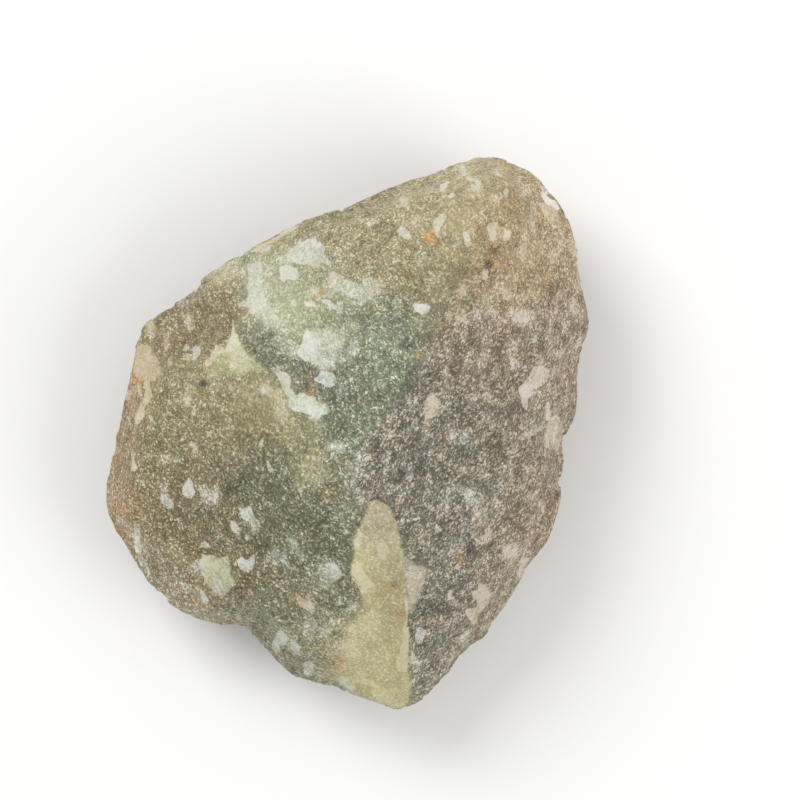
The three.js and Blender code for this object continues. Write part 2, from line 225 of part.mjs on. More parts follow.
// ---- uneven surface: smooth lattice noise in the range -1 to 1 ----
function lattice(ix, iy, iz, seed) {
  let h = Math.imul(ix, 0x27d4eb2d) ^ Math.imul(iy, 0x165667b1) ^ Math.imul(iz, 0x9e3779b1) ^ Math.imul(seed, 0x85ebca6b);
  h = Math.imul(h ^ (h >>> 15), 0x2c1b3c6d);
  h = Math.imul(h ^ (h >>> 12), 0x297a2d39);
  h = (h ^ (h >>> 15)) >>> 0;
  return h / 2147483648 - 1;
}
const fade = (t) => t * t * t * (t * (t * 6 - 15) + 10);
const mix = (a, b, t) => a + (b - a) * t;
function noise(x, y, z, seed) {
  const ix = Math.floor(x), iy = Math.floor(y), iz = Math.floor(z);
  const fx = fade(x - ix), fy = fade(y - iy), fz = fade(z - iz);
  const c = (i, j, k) => lattice(ix + i, iy + j, iz + k, seed);
  return mix(
    mix(mix(c(0, 0, 0), c(1, 0, 0), fx), mix(c(0, 1, 0), c(1, 1, 0), fx), fy),
    mix(mix(c(0, 0, 1), c(1, 0, 1), fx), mix(c(0, 1, 1), c(1, 1, 1), fx), fy), fz);
}
// the outline is cleaner than the broad faces
const calm = (rise) => RIM_CALM + (1 - RIM_CALM) * THREE.MathUtils.smoothstep(Math.abs(rise), 0.16, 0.45);
function unevenness(p) {
  let d = 0;
  ROUGHNESS.forEach(([wave, depth], i) => {
    d += depth * noise(p.x / wave, p.y / wave, p.z / wave, 11 + i);
  });
  return d;
}

// ---- the cage of broken faces, seen from the inner point ----
const heart = new THREE.Vector3(...HEART);
const corners = [...RIM, ...BEVEL, ...TOP, ...WALL, ...UNDER, ...BASE].map((c) => new THREE.Vector3(...c).sub(heart));
const facets = CAGE_FACES.map(([i, j, k]) => {
  const [a, b, c] = [corners[i], corners[j], corners[k]];
  const inverse = new THREE.Matrix3().set(a.x, b.x, c.x, a.y, b.y, c.y, a.z, b.z, c.z).invert();
  const normal = b.clone().sub(a).cross(c.clone().sub(a)).normalize();
  return { inverse, normal };
});
// where a ray from the inner point leaves the cage, and how that face leans
function leave(direction) {
  let best = -Infinity, reach = 0, face = null;
  const w = new THREE.Vector3();
  for (const f of facets) {
    w.copy(direction).applyMatrix3(f.inverse);
    const least = Math.min(w.x, w.y, w.z);
    if (least > best) {
      best = least;
      reach = 1 / (w.x + w.y + w.z);
      face = f;
    }
  }
  return { reach, normal: face.normal };
}

function stoneGeometry() {
  const ball = new THREE.IcosahedronGeometry(1, DETAIL);
  ball.deleteAttribute('normal');
  ball.deleteAttribute('uv');
  const mesh = mergeVertices(ball, 1e-5);
  const position = mesh.attributes.position;
  const half = new THREE.Vector3(WIDTH_X / 2, LENGTH_Y / 2, HEIGHT_Z / 2);
  const rays = [];
  for (let i = 0; i < position.count; i++) {
    const direction = new THREE.Vector3().fromBufferAttribute(position, i).multiply(half);
    direction.z += LIFT;
    direction.normalize();
    rays.push({ direction, ...leave(direction), sum: 0, near: 0 });
  }
  // worn ridges: each point leans towards the middle of its neighbours
  const index = mesh.index;
  for (let i = 0; i < index.count; i += 3) {
    for (const [a, b] of [[0, 1], [1, 2], [2, 0]]) {
      const from = rays[index.getX(i + a)], to = rays[index.getX(i + b)];
      from.sum += to.reach;
      from.near += 1;
    }
  }
  for (let i = 0; i < position.count; i++) {
    const { direction, reach, normal, sum, near } = rays[i];
    const worn = mix(reach, sum / near, WEAR);
    const point = direction.clone().multiplyScalar(worn).add(heart);
    // uneven relief stands square to the broken face, carried along the ray
    const lean = Math.max(0.6, normal.dot(direction));
    point.addScaledVector(direction, calm(direction.z) * unevenness(point) / lean);
    // the resting patch is flat
    if (point.z < REST_Z) {
      const t = (heart.z - REST_Z) / (heart.z - point.z);
      point.sub(heart).multiplyScalar(t).add(heart);
      point.z = REST_Z;
    }
    position.setXYZ(i, point.x, point.y, point.z);
  }
  // stand the stone over the middle of its own outline
  mesh.computeBoundingBox();
  const box = mesh.boundingBox;
  mesh.translate(-(box.min.x + box.max.x) / 2, -(box.min.y + box.max.y) / 2, -box.min.z);
  mesh.computeVertexNormals();
  return mesh;
}

// ---- the stone ----
const jade = new THREE.MeshStandardMaterial({ color: 0x7d8063, roughness: 0.62, metalness: 0.0 });
const stone = new THREE.Mesh(stoneGeometry(), jade);
stone.name = 'raw_jade';

const object = new THREE.Group();
object.name = 'raw_jade_stone';
object.add(stone);

export default object;
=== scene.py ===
# Rough natural jade stone lying on a plain pale floor: shape, grain and colour.
# Millimetres in the tables below, metres in the scene. +Z up, +Y to the narrow
# upper shoulder, -Y to the lower tip.
import math

import bpy
import numpy as np
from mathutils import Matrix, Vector, kdtree


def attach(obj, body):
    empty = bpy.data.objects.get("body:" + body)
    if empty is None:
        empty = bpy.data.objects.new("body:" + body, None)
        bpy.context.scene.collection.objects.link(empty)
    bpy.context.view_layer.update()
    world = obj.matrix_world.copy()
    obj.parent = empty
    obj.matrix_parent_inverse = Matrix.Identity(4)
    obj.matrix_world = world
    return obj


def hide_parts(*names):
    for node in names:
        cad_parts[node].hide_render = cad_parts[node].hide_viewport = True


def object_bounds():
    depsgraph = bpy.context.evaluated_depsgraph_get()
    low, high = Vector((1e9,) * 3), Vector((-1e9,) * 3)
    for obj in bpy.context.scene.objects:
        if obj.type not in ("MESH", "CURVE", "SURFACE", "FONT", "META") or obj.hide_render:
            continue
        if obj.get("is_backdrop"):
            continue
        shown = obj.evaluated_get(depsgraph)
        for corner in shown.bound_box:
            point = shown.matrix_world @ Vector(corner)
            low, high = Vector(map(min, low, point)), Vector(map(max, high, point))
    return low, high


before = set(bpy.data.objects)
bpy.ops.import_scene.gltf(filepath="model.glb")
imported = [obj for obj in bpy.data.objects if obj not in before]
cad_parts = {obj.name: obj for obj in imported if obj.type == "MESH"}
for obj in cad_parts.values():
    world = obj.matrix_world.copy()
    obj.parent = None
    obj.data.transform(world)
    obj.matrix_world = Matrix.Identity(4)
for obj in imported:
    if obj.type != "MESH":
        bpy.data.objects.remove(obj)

cad_low, cad_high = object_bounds()
cad_low, cad_high = list(cad_low), list(cad_high)

# ---------------------------------------------------------------- the cage
# corners of the broken faces, x y z, the same as the frame's
RIM = [
    (12.99, 28.29, 12.32), (14.31, 28.63, 12.23), (16.11, 28.45, 12.53), (17.61, 27.94, 12.83), (18.93, 27.26, 13.11), (20.06, 26.07, 13.77),
    (20.79, 24.98, 14.13), (21.86, 23.9, 14.28), (22.85, 22.42, 14.15), (23.5, 20.59, 14.68), (24, 18.63, 14.28), (24.28, 16.18, 13.34),
    (24.63, 15.2, 13.17), (25.05, 12.89, 12.86), (25.15, 10.76, 12.28), (24.51, 9.1, 11.97), (24.29, 7.45, 11.33), (24.23, 4.64, 10.79),
    (23.93, 2.66, 10.49), (23.36, 0.56, 9.59), (22.74, 0.04, 9.81), (22.66, -1.68, 9.56), (22.81, -3.06, 10.14), (22.48, -5.15, 9.81),
    (22.46, -6.83, 10.52), (22, -8.57, 11.03), (21.49, -10.65, 11), (20.45, -12.03, 11.02), (19.43, -13.25, 10.59), (18.42, -15.01, 9.48),
    (17.54, -16.42, 9.54), (16.51, -17.87, 8.73), (15.57, -19.54, 8.76), (14.39, -21.42, 8.36), (12.62, -22.69, 8.7), (11.17, -24.53, 9.28),
    (9.57, -26.24, 10.41), (8.28, -27.51, 10.66), (6.69, -28.45, 10.86), (5.57, -28.74, 11.34), (4.14, -28.43, 11.16), (2.39, -27.77, 11.41),
    (0.46, -27.2, 10.48), (-1.62, -26.27, 9.89), (-2.67, -26.15, 9.93), (-4.89, -25.49, 9.07), (-6.86, -24.33, 8.43), (-8.43, -22.77, 8.53),
    (-9.46, -21.2, 8.64), (-10.98, -20.09, 9.85), (-13.59, -20, 9.95), (-16.11, -19.16, 11.23), (-18.21, -17.81, 10.69), (-19.93, -16.07, 10.88),
    (-21.19, -14.7, 10.33), (-22.24, -12.98, 10.1), (-22.97, -11.29, 9.27), (-24.05, -10.26, 8.63), (-24.92, -8.52, 8.59), (-25.41, -6.47, 8.12),
    (-24.76, -4.27, 8.54), (-24.21, -1.67, 8.92), (-23.85, 0.41, 9.2), (-23.36, 2.68, 10.14), (-23.09, 4.06, 10.17), (-22.6, 5.61, 11.04),
    (-22.31, 7.34, 11.5), (-21.63, 9.58, 11.59), (-21.42, 10.61, 12.01), (-20.94, 11.3, 11.46), (-19.77, 12.34, 11.38), (-18.01, 13.21, 11.41),
    (-16.97, 13.9, 11.3), (-16.22, 14.48, 11.68), (-15.36, 15, 11.76), (-15.08, 15.85, 12.13), (-14.28, 16.7, 12.56), (-12.73, 17.72, 13.02),
    (-10.28, 18.91, 14.02), (-8.56, 19.94, 13.96), (-6.48, 21.09, 14.8), (-4.76, 21.75, 15.24), (-2.54, 22.56, 14.54), (0.02, 23.17, 14.22),
    (2.59, 24.4, 13.77), (5.17, 25.45, 13.56), (6.87, 26.16, 12.78), (8.61, 26.78, 12.52), (9.78, 27.23, 12.05), (11.34, 27.8, 12.2),
]
BEVEL = [
    (13.12, 26.94, 17.17), (15.79, 26.86, 16.54), (17.92, 25.81, 16.27), (19.83, 24.15, 16.69), (21.73, 21.8, 16.6), (22.4, 18.2, 16.23),
    (23.45, 14.99, 15.61), (23.88, 10.78, 14.93), (22.55, 7.68, 14.42), (22.44, 2.95, 14.69), (21.46, 0.3, 13.8), (21.47, -2.97, 13.56),
    (21.04, -6.55, 13.36), (20.35, -10.08, 12.98), (18.49, -12.56, 13.05), (16.3, -15.56, 12.37), (14.52, -18.59, 12.38), (11.77, -21.8, 11.81),
    (8.83, -25.39, 12.23), (6.37, -27.58, 12.22), (4.36, -27.23, 12.5), (0.82, -26.09, 12.54), (-2.02, -24.52, 13.41), (-5.65, -22.58, 13.49),
    (-8.43, -19.55, 12.55), (-12.83, -18.18, 13.24), (-17.29, -16.53, 12.89), (-19.55, -13.55, 12.49), (-21, -10.15, 12.3), (-22.95, -7.99, 12.78),
    (-21.98, -4.46, 13.75), (-21.23, 0.01, 13.9), (-21.02, 3.69, 14.01), (-19.85, 6.77, 13.89), (-20.48, 10.15, 13.05), (-19.22, 11.66, 12.78),
    (-16.31, 12.95, 13.63), (-14.55, 14.3, 14.72), (-13.33, 15.58, 15.33), (-9.67, 17.91, 16.54), (-6.04, 20.2, 17.12), (-2.14, 21.48, 17.62),
    (3.04, 23.09, 17.51), (7.34, 24.68, 17.1), (10.28, 25.39, 17.04),
]
TOP = [
    (14.43, 26.43, 18.6), (13.36, 23.32, 21.6), (12.31, 20.71, 23.4), (11.69, 18.54, 24.5), (10.97, 16.4, 25.3), (10.26, 14.06, 25.9),
    (9.45, 11.74, 26.4), (8.74, 10.13, 26.6), (8.14, 8.62, 26.8), (7.43, 7.21, 26.95), (6.83, 5.8, 27.05), (6.03, 4.59, 27.1),
    (5.22, 3.39, 27.1), (4.22, 2.08, 27), (3.21, 0.68, 26.85), (2.21, -0.73, 26.6), (1.2, -2.04, 26.3), (0.79, -3.05, 26.05),
    (0.59, -4.07, 25.8), (0.48, -4.98, 25.6), (0.78, -5.99, 25.35), (1.39, -6.9, 25.1), (2.19, -7.01, 25), (3.2, -6.8, 25),
    (4.21, -6.91, 24.9), (4.72, -7.52, 24.7), (5.02, -8.54, 24.4), (5.32, -9.56, 24), (5.57, -10.48, 23.6), (5.93, -11.62, 23),
    (6.23, -12.75, 22.4), (6.44, -14, 21.7), (6.54, -15.36, 20.9), (6.49, -16.93, 20), (6.34, -18.82, 18.9), (6.34, -20.41, 17.9),
    (6.45, -21.69, 17.1), (6.55, -22.86, 16.3), (6.58, -24.15, 15.4), (6.61, -25.34, 14.6), (6.66, -26.64, 13.7), (1.68, -8.64, 24.5),
    (1.17, -9.86, 24), (0.91, -11.31, 23.2), (0.85, -12.75, 22.4), (0.64, -14.1, 21.7), (1.04, -15.36, 20.9), (1.65, -16.51, 20.3),
    (0.72, -18.19, 19.3), (-0.22, -19.89, 18.1), (-1.16, -21.7, 16.8), (-2.01, -23.55, 15.2), (3.3, -8.64, 24.2), (3.39, -11.22, 22.9),
    (3.59, -13.81, 21.3), (3.89, -16.43, 19.6), (3.98, -19.07, 18), (4.18, -21.73, 16.4), (4.59, -24.19, 14.9), (-0.42, -2.75, 26),
    (-1.23, -4.38, 25.2), (-0.95, -7.13, 24.2), (-1.48, -10.2, 22.8), (-2.01, -13.3, 21.3), (-3.06, -16.44, 19.5), (-4.13, -19.61, 17.5),
    (-4.89, -22.07, 15.8), (-2.65, -2.06, 25.2), (-4.1, -5.63, 23.4), (-4.54, -9.73, 21.8), (-6.13, -13.89, 19.4), (-8.25, -17.58, 16.9),
    (-6.03, -1.58, 23.2), (-8.13, -6.7, 20.9), (-10.26, -11.88, 18.3), (-12.41, -16.09, 15.8), (-10.69, 0.43, 20.6), (-12.6, -4.7, 18.6),
    (-14.44, -9.89, 16.5), (-16.6, -14.08, 14.4), (-14.33, 1.44, 18.9), (-16.36, -2.68, 17.1), (-18.33, -7.35, 15), (-20.07, -11.53, 13.4),
    (-17.48, 3.49, 17.4), (-19.1, 0.4, 15.9), (-20.52, -3.75, 14.5), (-21.3, -7.38, 13.7), (-18.55, 5.03, 16.6), (-20.16, 8.36, 13.6),
    (-19.59, 7.52, 14.6), (-19.02, 6.89, 15.6), (-18.26, 6.68, 16.2), (-17.42, 7.19, 16.6), (-16.68, 7.6, 16.9), (-15.52, 7.49, 17.6),
    (-14.26, 7.49, 18.3), (-13.63, 8.2, 18.5), (-13.22, 8.81, 18.6), (-12.6, 9.43, 18.8), (-11.98, 10.14, 18.95), (-11.47, 11.47, 18.9),
    (-10.94, 10.54, 19.4), (-10.61, 9.82, 19.8), (-10.19, 8.9, 20.2), (-9.77, 8.08, 20.6), (-8.88, 7.15, 21.3), (-8.2, 6.95, 21.7),
    (-7.48, 6.84, 22), (-7.17, 6.13, 22.3), (-6.86, 5.52, 22.6), (-6.44, 4.71, 23), (-5.92, 3.89, 23.4), (-5.51, 3.19, 23.75),
    (-5.1, 2.48, 24), (-4.48, 1.97, 24.3), (-3.77, 1.27, 24.6), (-2.95, 0.26, 25), (-2.04, -0.85, 25.5), (-1.12, -1.85, 25.8),
    (-20.63, 9.4, 12.7), (-20.09, 8.88, 13.1), (-19.52, 8.15, 14), (-18.86, 7.52, 14.7), (-18.23, 7.41, 14.8), (-17.5, 7.93, 15),
    (-16.65, 8.34, 15.5), (-15.59, 8.23, 16.2), (-14.62, 8.22, 17), (-14.1, 8.83, 17.3), (-13.57, 9.55, 17.5), (-12.85, 10.26, 17.7),
    (-12.23, 11.08, 17.7), (-11.62, 12.42, 17.6), (-10.88, 11.69, 18.1), (-10.14, 10.35, 18.7), (-9.61, 9.32, 19.3), (-9.08, 8.49, 19.8),
    (-8.34, 7.77, 20.6), (-7.42, 7.56, 20.9), (-6.69, 6.85, 21.3), (-6.17, 5.93, 21.8), (-5.65, 5.01, 22.3), (-5.13, 4.2, 22.7),
    (-4.51, 3.19, 23.3), (-3.68, 2.38, 24), (-2.45, 1.07, 24.8), (-1.03, -0.34, 25.5), (-19.28, 10.13, 12.7), (-17.59, 11.16, 13.2),
    (-16.11, 12.18, 13.9), (-14.52, 13.2, 14.8), (-12.71, 14.2, 15.9), (-16.71, 9.38, 14.3), (-15, 10.19, 15.4), (-13.53, 11.52, 16.1),
    (-10.8, 13.45, 17.4), (-10.09, 15.4, 17.3), (-10, 17.06, 17), (-9.44, 12.71, 18.4), (-8.07, 11.87, 19.5), (-7.13, 10.83, 20.3),
    (-6.49, 9.6, 21.1), (-6.07, 8.37, 21.6), (-7.92, 18.68, 17.7), (-2.76, 20.36, 19.4), (0.32, 21.14, 20.3), (3.38, 22.14, 20.8),
    (6.44, 23.36, 20.9), (9.29, 24.38, 20.7), (11.54, 25.12, 20.2), (-7.16, 15.25, 19.2), (-4.58, 16.76, 20.1), (-1.5, 17.94, 21.3),
    (1.56, 18.72, 22.4), (4.61, 19.71, 23.1), (7.65, 20.71, 23.5), (10.19, 21.53, 23.2), (-4.04, 12.65, 21.4), (-0.97, 14.15, 22.5),
    (2.08, 15.13, 23.8), (5.12, 16.11, 24.7), (8.15, 16.81, 24.9), (-3.3, 9.07, 22.7), (-0.45, 10.58, 23.7), (2.6, 11.77, 24.9),
    (5.62, 12.76, 25.8), (7.64, 13.26, 25.9), (-1.96, 5.51, 24), (0.58, 7.02, 24.8), (3.41, 8.53, 25.7), (5.83, 9.02, 26.4),
    (0.08, 2.99, 25.6), (2.1, 4.5, 26), (4.42, 5.5, 26.6), (1.4, 0.97, 26.3), (3.11, 2.69, 26.6), (16.37, 25.49, 18.9),
    (15.59, 22.82, 21.6), (14.95, 19.7, 23.3), (14.32, 16.63, 24.3), (13.71, 13.59, 24.6), (18.11, 23.95, 19), (17.85, 20.81, 20.9),
    (17.31, 17.21, 22), (16.59, 13.64, 22.5), (20.1, 21.45, 17.6), (20.49, 18.04, 18.2), (20.25, 14.23, 19.2), (11.88, 10.55, 25.4),
    (14.93, 10.07, 23.9), (17.82, 10.1, 21.9), (20.77, 10.65, 19), (22.71, 12.75, 16.5), (22.71, 9.15, 16.4), (9.65, 7.01, 26.1),
    (12.69, 6.01, 24.9), (15.77, 5.52, 22.9), (18.67, 5.53, 20.6), (21.33, 5.03, 17.6), (7.44, 3.49, 26.4), (10.47, 1.98, 25.3),
    (13.73, 0.96, 23.3), (16.82, 0.94, 21.2), (19.98, 0.93, 18.2), (4.82, -0.03, 26.3), (7.64, -1.55, 25.3), (11.19, -3.09, 23.6),
    (14.79, -3.64, 21.2), (17.91, -3.68, 18.8), (20.46, -3.52, 16), (3.11, -2.55, 26), (5.12, -4.58, 25.2), (8.66, -6.12, 23.8),
    (12.23, -7.7, 21.7), (15.85, -8.27, 19.1), (19, -8.35, 16.4), (2.6, -5.08, 25.6), (5.83, -7.63, 24.4), (9.49, -10.23, 22),
    (12.98, -11.84, 19.4), (16.42, -11.93, 16.8), (19.06, -10.97, 14.7), (7.45, -11.23, 22.6), (8.17, -13.3, 21.4), (10.22, -14.37, 20.2),
    (12.8, -15.49, 17.9), (15.43, -15.6, 15.3), (7.76, -14.85, 20.8), (7.57, -16.63, 19.8), (9.73, -17.53, 18.1), (12.01, -18.66, 16),
    (7.47, -18.86, 18.2), (7.68, -21.2, 16.6), (9.75, -20.74, 15.6), (7.48, -23.35, 15), (8.94, -23.21, 13.9), (7.49, -25.3, 13.6),
]
WALL = [
    (14.43, 28.57, 6.63), (17.5, 27.64, 7.02), (19.76, 25.83, 8.81), (21.58, 23.88, 7.35), (23.1, 20.64, 7.89), (23.67, 16.17, 8.13),
    (24.18, 12.97, 7.63), (23.49, 9.28, 8), (23.96, 4.71, 6.26), (22.9, 0.69, 5.81), (22.46, -1.67, 5.71), (22.01, -5.18, 5.45),
    (21.15, -8.4, 6.56), (19.44, -11.55, 5.32), (17.35, -14.36, 5.33), (16.05, -17.68, 5.32), (13.64, -20.93, 5.36), (10.63, -24.18, 5.97),
    (7.19, -26.34, 6.88), (5.53, -28.19, 6.65), (2.63, -27.33, 6.56), (-1.37, -25.6, 6.35), (-4.66, -25.14, 5.47), (-7.52, -21.8, 5.57),
    (-10.69, -19.33, 5.95), (-16.14, -18.95, 6.73), (-19.72, -15.8, 5.8), (-22.1, -12.86, 6.32), (-23.33, -9.93, 5.64), (-24.84, -6.51, 5.64),
    (-23.93, -1.8, 6.16), (-23.11, 2.58, 7.07), (-22.22, 5.48, 6.41), (-21.37, 9.48, 7.58), (-20.98, 11.15, 6.9), (-18.01, 12.93, 6.45),
    (-16.14, 14.29, 7.81), (-15.05, 15.73, 8.19), (-12.71, 17.51, 7.48), (-8.52, 19.7, 7.44), (-4.62, 21.25, 8.08), (0.06, 23.13, 7.17),
    (5.29, 25.43, 7.6), (8.84, 26.5, 7.88), (11.63, 27.38, 7.07),
]
UNDER = [
    (14.6, 24.9, 4.6), (20, 21.4, 5.4), (22, 14.6, 3.5), (21.3, 6.6, 4.7), (20, -1.2, 2.5), (19.4, -8.6, 4.3),
    (14.4, -16.4, 2.9), (9.6, -22.6, 4.8), (4, -25.4, 3.9), (-3.8, -22.6, 2.7), (-8.4, -18.2, 4.5), (-15.2, -16.4, 3.1),
    (-20.4, -11.4, 4.7), (-22, -4.8, 2.7), (-20.4, 3.4, 4.5), (-18, 9.8, 2.9), (-11.6, 14.8, 4.9), (-3.4, 19.2, 3.3),
    (5.6, 22.8, 4.9),
]
BASE = [
    (-10.4, 8.6, 0.12), (-3.4, 13.8, 0.12), (5.2, 16, 0.12), (12.2, 14.2, 0.12), (15, 7.4, 0.12), (13.8, 0.2, 0.12),
    (12.6, -5.8, 0.12), (8.2, -11.6, 0.12), (2.6, -16.2, 0.12), (-4, -14.2, 0.12), (-9.8, -10.6, 0.12), (-14.4, -6.8, 0.12),
    (-15.2, 0.4, 0.12), (-13.4, 5, 0.12), (-7, 4, -0.8), (-7, -4, -0.8), (1, -8.5, -0.8), (6, -3, -0.8),
    (7.5, 5, -0.8), (1, 9, -0.8), (0, 0, -1),
]
